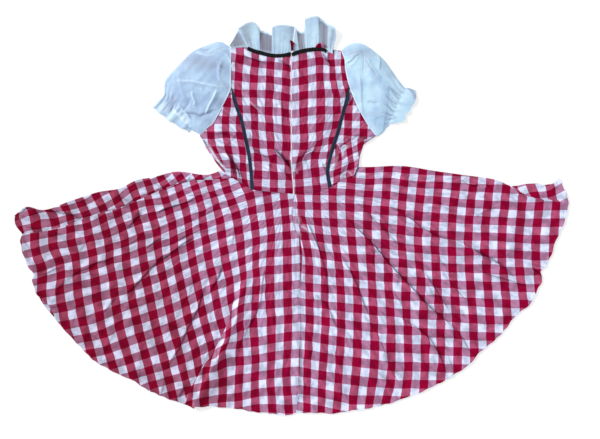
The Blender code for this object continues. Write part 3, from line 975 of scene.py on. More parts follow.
@dataclass
class Skirt:
    """The circle skirt: two back panels, and the front that is folded over at the left."""

    hem: float = 10.0
    pleat_from: float = 0.28  # share of the long fold where it starts to overlap
    pleat_over: float = 0.40  # share over which the overlap grows
    pleat_depth: float = 26.0
    rolled: float = 9.0  # how far beside a fold the cloth begins to roll over
    settled: float = 70.0  # how far beside the long fold the upper layer has come down
    merged: float = 60.0  # how far beside a fold the weaves of its two sides run together
    left_turn: Turn = Turn(0.56, 0.60)
    front_turn: Turn = Turn(0.62, 0.68)
    # Share of the lap, depth under the long fold as a share, way out from it, and height.
    lap: Sequence[tuple[float, float, float, float]] = (
        (0, 0, -1.5, 0), (0.30, 1, 0, 0), (0.38, 1.03, 0, 0.9), (0.46, 1, 0, 1.8),
        (0.76, 0, -0.5, 1.8), (0.86, 0, -1.3, 2.4), (0.94, 0, -0.8, 3.1), (1, 0, 1.5, 3.4))
    quarter: Cut = Cut(0.68, 0.68, 0.352)  # one of the two back panels
    crest: float = 9.5
    centre: Points = ((6, 56), (6, -25), (19, -53), (20, -220), (20, -430), (12, -512))
    zip_half: float = 0.5
    zip_share: float = 0.142
    long_fold: Points = (
        (-77, 64), (-100, -25), (-112, -82), (-126, -142), (-134, -181), (-144, -209),
        (-155, -240), (-160, -272), (-170, -293), (-182, -316), (-196, -342), (-208, -368),
        (-228, -390), (-240, -415), (-256, -441), (-277, -490))
    side_seam: Points = (
        (-152, 97), (-212, 93), (-272, 89), (-304, 80), (-363, 56), (-441, 22), (-519, -1),
        (-563, -17), (-602, -32), (-699, -48))
    fold_over: Points = (
        (-180, 119), (-206, 108), (-304, 113), (-360, 99), (-404, 91), (-443, 71), (-500, 61),
        (-573, 38), (-650, 14), (-690, 22), (-719, 0))
    right_top: Points = (
        (174, 126), (204, 126), (285, 129), (370, 116), (448, 105), (538, 90), (570, 77),
        (612, 82), (638, 83), (667, 77), (696, 98))
    hem_side: Points = (
        (-699, -48), (-703, -58), (-701, -79), (-694, -110), (-683, -133), (-669, -157),
        (-673, -165), (-671, -178), (-661, -204), (-634, -230), (-603, -282), (-561, -327),
        (-519, -371), (-468, -403), (-413, -428), (-365, -457), (-313, -478), (-277, -490))
    hem_left: Points = (
        (-277, -490), (-260, -494), (-204, -496), (-151, -501), (-100, -509), (-49, -515),
        (1, -517), (12, -512))
    hem_right: Points = (
        (12, -512), (52, -512), (104, -514), (155, -507), (207, -499), (259, -486), (310, -468),
        (361, -447), (410, -421), (457, -390), (496, -349), (541, -312), (577, -266), (623, -224),
        (641, -188), (649, -172), (650, -159), (646, -148), (657, -136), (668, -115), (691, -55),
        (715, 4), (718, 36), (696, 98))
    front_top: Points = ((174, 120), (285, 121), (448, 97), (574, 70), (689, 84))
    front_waist: Points = (
        (174, 120), (160, 93), (134, 95), (99, 68), (6, 54), (-101, 64), (-152, 95), (-180, 119))
    hem_front: Points = (
        (689, 84), (712, 30), (687, -56), (662, -116), (641, -146), (640, -170), (572, -262),
        (537, -306), (452, -386), (375, -437), (200, -496), (12, -508), (-140, -496), (-270, -485),
        (-338, -464), (-385, -441), (-459, -402), (-593, -287), (-657, -202), (-664, -160),
        (-686, -118), (-697, -48), (-716, 0))
    left_chart: Chart = (
        (-4, 4, (-667, -55), (-619, -47), (-573, -36), (-531, -29), (-489, -9), (-452, 5),
        (-410, 25)), (4, 4, (-327, 40), (-288, 56), (-250, 73)), (-4, 3, (-664, -94), (-619, -80),
        (-571, -71), (-525, -59), (-480, -48), (-441, -31), (-400, -15), (-361, -1), (-318, 12),
        (-278, 27), (-240, 45)), (8, 3, (-168, 66)), (-4, 2, (-649, -134), (-603, -117),
        (-561, -108), (-517, -97), (-473, -84), (-432, -72), (-391, -55), (-350, -44), (-309, -26),
        (-270, -10), (-231, 3)), (9, 2, (-109, 51)), (-4, 1, (-647, -169), (-599, -155),
        (-558, -147), (-514, -132), (-472, -118), (-430, -107), (-388, -93), (-348, -78),
        (-306, -64), (-265, -43), (-229, -27), (-186, -13)), (11, 1, (-17, 31)),
        (-4, 0, (-649, -204), (-602, -195), (-556, -181), (-509, -172), (-465, -158), (-426, -148),
        (-382, -131), (-342, -118), (-303, -97), (-262, -81)), (-3, -1, (-595, -238), (-550, -227),
        (-506, -212), (-460, -201)), (11, -1, (-8, -52)), (-3, -2, (-586, -285), (-542, -276),
        (-498, -262), (-454, -244)), (7, -2, (-168, -134)), (-2, -3, (-531, -316), (-489, -308),
        (-447, -287)), (4, -3, (-277, -226)), (7, -3, (-159, -170)), (6, -4, (-194, -230),
        (-156, -215)), (-1, -5, (-465, -388)), (5, -5, (-222, -294), (-181, -282)),
        (2, -6, (-327, -389)), (4, -6, (-248, -357), (-209, -337)), (4, -7, (-240, -404)),
        (2, -8, (-309, -465), (-268, -454)))
    middle_chart: Chart = (
        (9, 1, (-101, 11), (-60, 22)), (11, 0, (-15, -11)), (9, -1, (-92, -66)),
        (8, -2, (-130, -118), (-97, -105)), (8, -3, (-129, -155), (-95, -147)),
        (11, -3, (-10, -138)), (8, -4, (-128, -197), (-95, -194)), (7.5, -4.5, (-149, -233)),
        (8, -5, (-131, -241), (-97, -235)), (7, -6, (-163, -306), (-134, -285), (-98, -280),
        (-52, -274)), (6.5, -6.5, (-183, -332)), (7, -7, (-174, -342), (-134, -334), (-96, -329)),
        (6.5, -7.5, (-199, -381)), (6, -8, (-220, -400), (-178, -386), (-134, -378)),
        (10, -8, (-52, -366)), (6, -9, (-222, -442), (-178, -433)), (9, -9, (-95, -418)),
        (11, -9, (-14, -407)), (6, -10, (-225, -482), (-179, -474), (-138, -472)),
        (9, -11, (-93, -501)), (11, -11, (-7, -503)))
    right_chart: Chart = (
        (-5, 5, (204, 118)), (-3, 5, (297, 118)), (-1, 5, (384, 112)), (-5, 4, (204, 88),
        (248, 90), (292, 84)), (-1, 4, (382, 79)), (1, 4, (471, 72)), (3, 4, (557, 69)),
        (-6, 3, (152, 60)), (1, 3, (465, 30)), (4, 3, (598, 23)), (6, 3, (687, 25)),
        (-9, 2, (25, 26)), (-2, 1, (328, -45)), (3, 1, (546, -56)), (-9, 0, (34, -53)),
        (-7, 0, (114, -64)), (5, 0, (634, -105)), (-9, -1, (43, -96)), (-4, -1, (247, -118)),
        (-9, -3, (46, -186)), (4, -3, (603, -230)), (-9, -5, (47, -269)), (2, -5, (517, -315)),
        (-3, -6, (303, -345)), (-7, -7, (125, -375)), (-8, -8, (80, -416)), (-6, -8, (166, -428)),
        (-4, -8, (256, -438)), (-2, -8, (344, -438)), (-6, -9, (161, -479)), (-4, -9, (246, -478)),
        (-9, -10, (40, -499), (77, -505)))
    tucked_chart: Chart = (
        (4.5, 4.5, (602, 66)), (5, 4.5, (623, 72)), (5.5, 4.5, (649, 72)), (6, 4.5, (672, 77)),
        (6.5, 4.5, (690, 90)), (5, 4, (633, 51), (672, 58)), (6.5, 4, (698, 70)))
    strip_chart: Chart = (
        (-2, 0, (-672, 9), (-633, 14), (-586, 20), (-545, 30), (-506, 51)),
        (-2.5, -0.5, (-690, -14), (-643, 1), (-597, 4)), (-2, -1, (-664, -26), (-615, -19),
        (-576, -6), (-534, 4), (-490, 20), (-454, 40), (-412, 72), (-373, 85), (-339, 96)),
        (4, -2, (-399, 40), (-363, 53), (-324, 74), (-290, 99)))
    tuck: Points = ((560, 80), (576, 72), (592, 60), (615, 48), (636, 43), (659, 40), (690, 38))
    right_folds: Sequence[Fold] = (
        (11, 2.5, 0.4, 4, (22, 9), (48, -38), (69, -90), (82, -134), (95, -194)),
        (15, 4.5, 0.55, 9, (121, 20), (152, -20), (204, -72), (264, -142), (308, -188),
         (368, -251), (404, -280), (438, -316), (462, -344)),
        (12, 3.2, -0.5, 5, (165, 46), (196, 14), (222, -12), (256, -46), (282, -72), (313, -95)),
        (12, 3.0, 0.5, 5, (225, 35), (256, 20), (300, -6), (342, -38), (394, -64), (448, -79)),
        (14, 4.2, 0.55, 8, (443, -74), (482, -98), (516, -116), (555, -142), (586, -173)),
        (11, 3.0, -0.4, 5, (469, -134), (516, -150), (576, -168), (628, -186)),
        (12, 3.4, 0.5, 5, (329, -131), (360, -176), (391, -225), (417, -264)),
        (10, 2.5, -0.4, 4, (389, -131), (417, -173), (446, -207), (467, -230)),
        (12, 3.2, 0.5, 5, (126, -103), (152, -150), (170, -188), (186, -233), (209, -280)),
        (12, 3.2, -0.5, 5, (199, -259), (238, -329), (256, -384), (282, -436), (290, -472)),
        (11, 2.8, 0.4, 4, (38, -196), (87, -233), (108, -277), (131, -321)),
        (12, 2.8, -0.4, 4, (92, -326), (118, -376), (131, -428), (139, -472), (157, -506)),
        (14, 4.2, 0.55, 7, (266, -259), (316, -290), (352, -318), (378, -358), (399, -407),
         (407, -425)),
        (10, 2.5, 0.4, 4, (415, -280), (446, -329), (467, -368)),
        (11, 2.5, 0.3, 3, (300, -14), (360, -48), (448, -77), (506, -118), (566, -142)),
        (9, 2.4, -0.4, 3, (20, 12), (38, -6), (58, -25)),
        (9, 2.2, 0.4, 3, (256, -199), (280, -225), (285, -238)),
        (10, 2.0, 0.3, 1, (300, 87), (330, 76), (363, 61)),
        (9, 2.6, -0.4, 4, (436, 103), (454, 87), (470, 81), (495, 79)),
        (9, 3.0, 0.5, 8, (618, -134), (630, -144), (642, -152), (654, -162)))
    left_folds: Sequence[Fold] = (
        (12, 3.0, 0.5, 4, (-214, -148), (-228, -185), (-251, -252), (-274, -295), (-295, -344),
         (-316, -378), (-332, -420)),
        (11, 2.8, 0.5, 4, (-178, -126), (-205, -182), (-221, -209)),
        (11, 2.6, -0.3, 3, (-196, -313), (-213, -344), (-233, -381)),
        (13, 3.2, 0.5, 5, (-321, -79), (-342, -108), (-386, -155), (-433, -207), (-448, -222)),
        (12, 3.2, -0.5, 5, (-173, 43), (-199, 22), (-238, -4), (-261, -22)),
        (12, 3.0, -0.4, 4, (-225, -12), (-259, -32), (-321, -58)),
        (10, 2.2, 0.3, 3, (-324, 25), (-350, 9)),
        (10, 2.4, 0.3, 3, (-391, 20), (-412, -4), (-420, -14)),
        (10, 2.0, 0.3, 2, (-506, -126), (-480, -113), (-454, -103)),
        (10, 2.2, 0.3, 3, (-677, -150), (-649, -150), (-623, -144)),
        (11, 2.4, 0.3, 3, (-581, -165), (-607, -186), (-612, -214)),
        (10, 2.5, -0.3, 3, (-225, 82), (-217, 66), (-196, 58), (-178, 51)),
        (11, 3.4, -0.5, 5, (-356, 6), (-339, 17), (-316, 25), (-287, 33), (-264, 40), (-238, 51)),
        (9, 2.2, -0.4, 2, (-650, -156), (-639, -149), (-612, -136), (-592, -131), (-580, -130)),
        (9, 2.6, -0.4, 3, (-610, -176), (-574, -157), (-548, -140), (-522, -131), (-506, -120),
         (-483, -117), (-461, -107), (-440, -100)),
        (8, 2.0, 0.4, 1, (-700, -60), (-696, -68), (-687, -82), (-676, -92)),
        (9, 2.2, -0.4, 2, (-500, -258), (-488, -247), (-468, -224), (-455, -205)),
        (10, 3.0, -0.5, 3, (-430, -34), (-423, -26), (-408, -9), (-397, 3), (-385, 14)),
        (9, 2.0, -0.4, 2, (-430, -76), (-417, -69), (-400, -58), (-386, -46)),
        (9, 2.4, -0.4, 3, (-390, -90), (-376, -81), (-356, -66), (-339, -58), (-320, -50)),
        (10, 2.6, -0.4, 3, (-310, -70), (-293, -61), (-264, -45), (-226, -38), (-200, -32)),
        (11, 3.0, -0.5, 4, (-360, -128), (-334, -110), (-304, -87), (-285, -72), (-256, -55),
         (-230, -40)))
    strip_folds: Sequence[Fold] = (
        (9, 3.4, -0.5, 7, (-650, 20), (-623, 14), (-602, 10), (-576, 6), (-542, -6)),
        (6, -2.5, 0.0, 8, (-702, 4), (-692, 12), (-682, 17), (-670, 8)),
        (8, 2.4, 0.4, 5, (-700, -30), (-680, -34), (-660, -38), (-636, -38)),
        (9, 2.4, 0.4, 3, (-264, 104), (-270, 94), (-284, 84)),
        (9, 2.0, 0.3, 3, (-360, 92), (-352, 78), (-330, 66)),
        (10, 2.2, 0.3, 3, (-466, 60), (-442, 42), (-420, 32)))

    centre_glints: Sequence[Points] = (
        ((-4, 18), (6, 10), (14, 2)), ((-4, -16), (4, -26), (11, -40), (16, -60)),
        ((20, -30), (34, -38), (46, -50)), ((8, -2), (14, -14), (12, -24)))
    strip_glints: Sequence[Points] = (
        ((-650, -42), (-623, -39), (-602, -34), (-578, -26)), ((-700, 12), (-708, 2), (-706, -14)))

    def folds_at_the_long_one(self) -> tuple[Crease, ...]:
        """The crest beside the long fold, and the hollow at the foot of it."""
        crest = Crease(((-96, -90), (-108, -140), (-120, -180), (-136, -225), (-140, -250),
                        (-150, -287), (-163, -318), (-180, -352), (-200, -392), (-214, -420),
                        (-232, -455), (-252, -500)),
                       32, self.crest, -0.5, 0.35, begin=0.4, end=0)
        foot = Crease(((-62, -110), (-70, -137), (-78, -176), (-81, -212), (-87, -236),
                       (-102, -268), (-120, -300), (-136, -338), (-142, -362), (-150, -392)),
                      13, 3.0, 0.6, 0.8, begin=0.2, end=0.35, take=7)
        return crest, foot

    def seams(self) -> tuple[Crease, ...]:
        """The grooves of the waist, the centre back and the side."""
        return (seam(WAIST, 1.6, 6, 0.5), seam(self.centre[2:], 1.0, 4.5, 0.7),
                seam(self.side_seam, 1.8, 6))

    def edge_at_zip(self, side: int) -> Line:
        """The centre back edge of a panel, moved aside along the zip.

        Args:
            side: -1 for the left panel, 1 for the right one.

        Returns:
            The edge, from the waist to the hem.
        """
        line = Line(self.centre, smooth=True, samples=120)
        shares = line.places / line.length
        line.knots[:, 0] += side * self.zip_half * (1 - eased((shares - self.zip_share) / 0.03))
        return line

    def waist(self, first: float, last: float) -> Line:
        """The waist seam between two places, from left to right."""
        inner = [corner for corner in WAIST if first < corner[0] < last]
        xs, ys = zip(*WAIST)
        ends = [(x, float(np.interp(x, xs, ys))) for x in (first, last)]
        return Line([ends[0], *inner, ends[1]])

    def left_lay(self, across: Array, down: Array, panel: Panel) -> Laid:
        """Points and weave of the left back panel, with the long fold that laps over itself.

        Args:
            across: Shares from the side seam to the centre back.
            down: Shares from the waist to the hem.
            panel: The panel, for its hem and its creases.

        Returns:
            Points, weave and marks.
        """
        turn = self.left_turn
        shares = panel.rows(down)
        rail = Line(self.long_fold, smooth=True)
        grown = eased((shares - self.pleat_from) / self.pleat_over)
        side = Patch(Line(self.side_seam, smooth=True), rail, self.waist(-152, -77),
                     wavering(self.hem_side))
        middle = Patch(rail, self.edge_at_zip(-1), self.waist(-77, 6 - self.zip_half),
                       wavering(self.hem_left))
        plan = turn.plan(side, middle, across, shares)
        # The lap runs in under the fold, turns back and rolls over at the fold.
        part = turn.part(across)
        stops, *profile = zip(*self.lap)
        deep, edge, stack = (np.interp(part, stops, values) for values in profile)
        signed, _, lefts = rail.measure(plan)
        near = np.abs(signed)
        roll = 1.5 * eased(1 - near / self.rolled)
        lapped = blend(grown, 3 * part - 1.5, edge + self.pleat_depth * deep)
        plan = plan + lefts * turn.choose(across, -roll, roll, lapped)[:, None]
        over = self.lap[-1][-1] * (1 - eased((near - 6) / self.settled))
        # One weave on either side of the fold; above the lap they run into each other.
        fade = 0.5 * (1 - grown) * (1 - eased(near / self.merged))
        share = turn.choose(across, fade, 1 - fade, blend(grown, 0.5, part))
        folds = creased(plan, panel.creases)
        weave = blend(share[:, None], panel.weave(folds.source),
                      Weave(self.middle_chart)(folds.source))
        free = panel.inside(across, down) * eased((near - 8) / 20)
        placed = plan + folds.aside * free[:, None]
        height = panel.raised(plan, shares, folds) + grown * turn.choose(across, 0, over, stack)
        return np.column_stack([placed, height]), weave, folds.marks

    def left_panel(self) -> Panel:
        """The left back panel, from the side seam to the centre back."""
        outline = Patch(Line(self.side_seam), Line(self.centre), self.waist(-152, 6),
                        Line((*self.hem_side, *self.hem_left[1:]), smooth=True))
        creases = (
            *ridges(self.left_folds), *crumples(11, 90, (-660, -480), (0, 60), (-40, 120)),
            *self.folds_at_the_long_one(), *glints(self.centre_glints[:2], 10), *self.seams())
        return Panel(node="skirt_back_left", patch=outline, grid=Grid(340, 134),
                     cut=self.quarter, weave=Weave(self.left_chart), creases=creases,
                     hem=self.hem, rests_on=("skirt_front_cloth",))

    def right_panel(self) -> Panel:
        """The right back panel, from the centre back to its upper edge."""
        outline = Patch(self.edge_at_zip(1), Line(self.right_top, smooth=True),
                        self.waist(6 + self.zip_half, 174), wavering(self.hem_right))
        weave = Overlap(Weave(self.right_chart), Weave(self.tucked_chart), self.tuck)
        creases = (*ridges(self.right_folds), *crumples(23, 90, (20, -480), (680, 90), (60, 120)),
                   Crease(self.tuck, 12, 4.5, 0.5, 0.7, begin=0.2, end=0.1),
                   *glints(self.centre_glints, 10), *self.seams())
        return Panel(
            node="skirt_back_right", patch=outline, grid=Grid(330, 138), cut=self.quarter,
            weave=weave, creases=creases, hem=self.hem, rests_on=("skirt_front_cloth",))

    def front_lay(self, across: Array, down: Array, panel: Panel) -> Laid:
        """Points and weave of the front: the lower layer, the turn and the strip on top.

        Args:
            across: Shares from the right end, round the turn, to the side seam.
            down: Shares from the waist to the hem.
            panel: The panel, for its hem and its creases.

        Returns:
            Points, weave and marks.
        """
        turn = self.front_turn
        under, over = across < turn.begin, across > turn.end
        shares = panel.rows(down)
        fold = Line(self.fold_over, smooth=True)
        below = Patch(Line(self.front_top, smooth=True), fold, Line(self.front_waist),
                      Line(self.hem_front, smooth=True))
        strip = Patch(fold, Line(self.side_seam, smooth=True), Line(((-180, 119), (-152, 97))),
                      Line(((-719, 0), (-717, -22), (-699, -48)), smooth=True))
        plan = turn.plan(below, strip, across, shares)
        bent = math.pi * (turn.part(across) - 0.5)
        radius = (BACK_LEVEL + body_height(plan) - FRONT_LEVEL) / 2
        signed, _, lefts = fold.measure(plan)
        flat = eased(1 - np.abs(signed) / self.rolled)
        plan = plan + lefts * (radius * turn.choose(across, flat, flat, 1 - np.cos(bent)))[:, None]
        folds = creased(plan, panel.creases)
        upper = BACK_LEVEL + body_height(plan) + panel.hemmed(shares, folds.height * over)
        height = blend(turn.choose(across, 0, 1, swell(bent)), FRONT_LEVEL, upper)
        fade = np.where(under, eased(1 - np.abs(signed) / self.merged), 1)[:, None]
        weave = blend(fade, panel.weave(plan), Weave(self.strip_chart)(folds.source))
        folds.marks[:, 1] *= over
        return np.column_stack([plan, height]), weave, folds.marks

    def front_panel(self) -> Panel:
        """The front, folded over at the left."""
        outline = Patch(Line(self.right_top), Line(self.side_seam), self.waist(-152, 174),
                        Line(self.hem_front))
        creases = (*ridges(self.strip_folds), *glints(self.strip_glints),
                   *crumples(5, 18, (-690, -20), (-200, 110), (-100, 100), 1.1),
                   seam(self.side_seam, 1.8, 6))
        return Panel(
            node="skirt_front", patch=outline, grid=Grid(230, 86), cut=Cut(1.36, 0.68, 0.704),
            weave=straight_weave, creases=creases, hem=self.hem)

    def build(self, cotton: Material) -> None:
        """Build the three pieces of the skirt."""
        for panel, lay in ((self.front_panel(), self.front_lay),
                           (self.left_panel(), self.left_lay), (self.right_panel(), None)):
            panel.laying = lay and partial(lay, panel=panel)
            panel.build(cotton)


@dataclass
class Bodice:
    """The bodice: four back panels on the two halves of the front."""

    zip_half: float = 1.35
    sides_left: Points = (
        *ARMHOLE_LEFT[3:8], (-238, 208), (-225, 184), (-211, 158), (-196, 137), (-180, 117),
        (-166, 104), (-152, 97))
    sides_right: Points = (*ARMHOLE_RIGHT[5:], (188, 190), (178, 160), (174, 126))
    neck_right: Points = (
        (0, 417), (48, 430), (60, 434), (68, 445), (82, 448), (90, 436), (98, 424), (108, 420),
        (129, 428))
    underarm: Points = (
        (120, 168), (128, 173), (134, 180), (157, 192), (170, 200), (183, 199), (199, 195),
        (222, 207))
    left_chart: Chart = (
        (-3, 2, (-135, 406), (-94, 394), (-55, 389), (-14, 384)), (-3, 1, (-138, 360), (-98, 355),
        (-56, 353), (-14, 346)), (-3, 0, (-138, 317), (-100, 317), (-57, 315), (-16, 307)),
        (-2, -1, (-98, 274), (-59, 270), (-17, 267)), (-2, -2, (-95, 234), (-57, 230), (-14, 222)),
        (-2, -3, (-92, 187), (-54, 182), (-13, 181)), (-2, -4, (-88, 150), (-50, 146), (-12, 136)),
        (-2, -5, (-87, 105), (-46, 103), (-6, 101)), (-2, -6, (-87, 66), (-46, 62), (-6, 61)))
    right_chart: Chart = (
        (1, 2, (30, 393), (72, 400), (105, 396)), (1, 1, (31, 350), (74, 360), (107, 360),
        (138, 361)), (1, 0, (31, 312), (76, 316), (116, 316)), (1, -1, (31, 267), (76, 273),
        (118, 273)), (1, -2, (32, 225), (74, 230), (116, 235)), (1, -3, (32, 181), (72, 186),
        (105, 195)), (1, -4, (23, 148), (62, 155)), (1, -5, (20, 105), (61, 111)),
        (1, -6, (21, 65), (66, 69)))
    side_left_chart: Chart = (
        (1, 2, (-166, 294)), (1, 1, (-171, 247)), (0, 0, (-210, 209), (-170, 211), (-134, 207)),
        (0, -1, (-202, 170), (-163, 170), (-127, 169)), (0, -2, (-186, 136), (-153, 130),
        (-125, 125)))
    side_right_upper: Chart = ((0, 1, (148, 256), (188, 256)), (0, 0, (146, 217), (187, 215)))
    side_right_lower: Chart = ((-1, -1, (122, 150), (150, 165)), (-1, -2, (118, 113), (154, 128)))
    folds: Sequence[Fold] = (
        (12, 4.8, 0.5, 11, (-56, 176), (-47, 168), (-35, 157), (-21, 142), (-8, 127), (2, 116)),
        (11, 3.6, -0.45, 8, (66, 176), (56, 168), (30, 152), (12, 118)),
        (11, 4.0, 0.45, 8, (-176, 168), (-160, 146), (-146, 124), (-138, 104), (-134, 88)),
        (9, 2.2, -0.4, 4, (-207, 212), (-182, 216), (-162, 214), (-134, 200)),
        (9, 2.2, 0.4, 5, (-103, 174), (-84, 160), (-66, 149), (-46, 152)),
        (9, 2.0, 0.4, 5, (-34, 122), (-16, 106), (-1, 92)),
        (8, 2.0, 0.4, 4, (75, 143), (82, 124), (90, 104), (96, 90)),
        (10, 2.4, -0.4, 4, (-196, 150), (-176, 126), (-160, 108)),
        (9, 2.2, 0.4, 3, (35, 153), (56, 175), (92, 205)),
        (9, 2.2, -0.4, 3, (-121, 192), (-78, 163), (-43, 144)),
        (9, 2.0, 0.4, 2, (-30, 300), (-24, 262), (-30, 226)),
        (9, 1.8, -0.4, 2, (88, 300), (96, 262), (92, 222)),
        (8, 1.8, 0.4, 2, (-110, 404), (-70, 398), (-24, 404)),
        (8, 2.4, -0.4, 6, (-129, 428), (-116, 415), (-96, 409), (-74, 400), (-56, 394)),
        (8, 2.4, 0.4, 6, (-40, 402), (-18, 391), (-4, 380), (1, 374)),
        (8, 2.6, 0.4, 7, (74, 424), (82, 412), (92, 399), (104, 386)),
        (10, 3.0, 0.5, 7, (176, 148), (170, 130), (164, 112), (156, 96)),
        (9, 2.4, -0.4, 6, (154, 148), (146, 130), (136, 112), (126, 96)))

    glints: Sequence[Points] = (
        ((-126, 324), (-108, 292), (-92, 276), (-71, 257)),
        ((-220, 190), (-210, 168), (-197, 147), (-179, 126), (-163, 108)),
        ((2, 128), (9, 118), (12, 106)), ((112, 186), (122, 182), (132, 188)),
        ((138, 116), (146, 111), (158, 99)), ((117, 162), (113, 140), (102, 112)))
    # Painted shade in hollows and folds, and painted light where negative.
    tints: Sequence[Tint] = (
        (5, -0.9, (-222, 194), (-210, 168), (-197, 147), (-179, 126), (-161, 106)),
        (11, 1.0, (-168, 154), (-158, 136), (-152, 118), (-148, 94)),
        (4, 0.9, (-232, 200), (-226, 188), (-218, 176)),
        (9, 0.9, (162, 124), (167, 112), (169, 98)),
        (5, -0.8, (150, 186), (138, 176), (132, 166), (131, 150)),
        (8, 0.6, (132, 100), (126, 84)),
        (7, 0.6, (104, 160), (112, 172), (122, 180)),
        (7, 0.5, (8, 112), (16, 124), (26, 138)))
    neck_bump: Points = ((58, 435), (68, 442), (79, 445), (92, 436))

    def creases(self) -> tuple[Crease, ...]:
        """All the creases and seams of the back, which may cross from panel to panel."""
        flap = Crease(self.underarm, 9, 2.6, 0.5, 0.7, begin=0.1, end=0.1, line=0.6, shade=0.3)
        seams = [seam(line, depth, 5) for line, depth in (
            (WAIST, 1.6), (RIBBON_LEFT, 1.0), (RIBBON_RIGHT, 1.0), (NECK_LEFT, 0.6),
            (NECK_RIGHT, 0.6), (ARMHOLE_LEFT, 1.2), (ARMHOLE_RIGHT, 1.2))]
        strewn = crumples(31, 60, (-200, 70), (180, 425), (0, 600), 1.0)
        return (*ridges(self.folds, 0.13), *strewn, flap, *glints(self.glints),
                *tints(self.tints), *seams)

    def height(self, plan: Array) -> Array:
        """Height of the back's middle surface over its plan."""
        folds = creased(plan, self.creases())
        return BACK_LEVEL + np.maximum(body_height(plan) + folds.height, Panel.LOWEST)

    def centre(self, side: int) -> Points:
        """The edge of a back panel along the zip, from the neckline to the waist."""
        return [(x + side * self.zip_half, y) for x, y in CENTRE_BACK]

    def back_panels(self) -> list[Panel]:
        """The four panels of the back."""
        creases = self.creases()
        bump = Crease(self.neck_bump, 11, 9.0, 0.0, 0.1, 0.25, 0.25)
        lapped = Overlap(Weave(self.side_right_lower), Weave(self.side_right_upper), self.underarm)
        half = self.zip_half
        rows = (
            ("back_left",
             Patch.between((*ARMHOLE_LEFT[:2], *RIBBON_LEFT), self.centre(-1),
                           (*NECK_LEFT[:-1], (-half, 417)), ((-101, 66), (6 - half, 56))),
             Cut(0.17, 0.39, 0.052), Weave(self.left_chart), creases),
            ("back_right",
             Patch.between(self.centre(1), (*ARMHOLE_RIGHT[:4], *RIBBON_RIGHT),
                           ((half, 417), *self.neck_right[1:]),
                           ((6 + half, 56), (61, 59), (99, 71))),
             Cut(0.17, 0.39, 0.050), Weave(self.right_chart), (*creases, bump)),
            ("side_left",
             Patch.between(self.sides_left, ((-152, 314), *RIBBON_LEFT[1:]),
                           ((-164, 312), (-152, 314)), WAIST[:2]),
             Cut(0.14, 0.26, 0.019), Weave(self.side_left_chart), creases),
            ("side_right",
             Patch.between(RIBBON_RIGHT[1:], self.sides_right, ((138, 277), (160, 308)),
                           WAIST[4:]),
             Cut(0.14, 0.26, 0.016), lapped, creases))
        grids = {"back": Grid(86, 140), "side": Grid(60, 110)}
        return [Panel(node=f"bodice_{part}", patch=patch, grid=grids[part[:4]], cut=cut,
                      weave=weave, creases=folds,
                      rests_on=(f"bodice_front_{part[5:]}_cloth",))
                for part, patch, cut, weave, folds in rows]

    def front_panels(self) -> list[Panel]:
        """The two halves of the front, which the back covers."""
        middle = ((0, 294), (0, 230), (0, 110), WAIST[2])
        rows = (
            ("left", Cut(0.26, 0.39, 0.075), Patch.between(
                (*ARMHOLE_LEFT, (-222, 176), (-194, 139), WAIST[0]),
                (*FRONT_NECK[:6], *middle), (ARMHOLE_LEFT[0], FRONT_NECK[0]), WAIST[:3])),
            ("right", Cut(0.23, 0.39, 0.062), Patch.between(
                (*FRONT_NECK[:6:-1], *middle),
                (*ARMHOLE_RIGHT, (190, 192), (178, 156), WAIST[-1]),
                (FRONT_NECK[-1], ARMHOLE_RIGHT[0]), WAIST[2:])))
        return [Panel(node=f"bodice_front_{side}", patch=patch, grid=Grid(60, 80), cut=cut,
                      weave=straight_weave, level=FRONT_LEVEL - 0.1)
                for side, cut, patch in rows]

    def build(self, cotton: Material) -> None:
        """Build the bodice's six pieces."""
        for panel in (*self.front_panels(), *self.back_panels()):
            panel.build(cotton)


# --- sleeves ---


Ring = tuple  # fullness of a cut across a sleeve, and its points from the upper to the lower edge


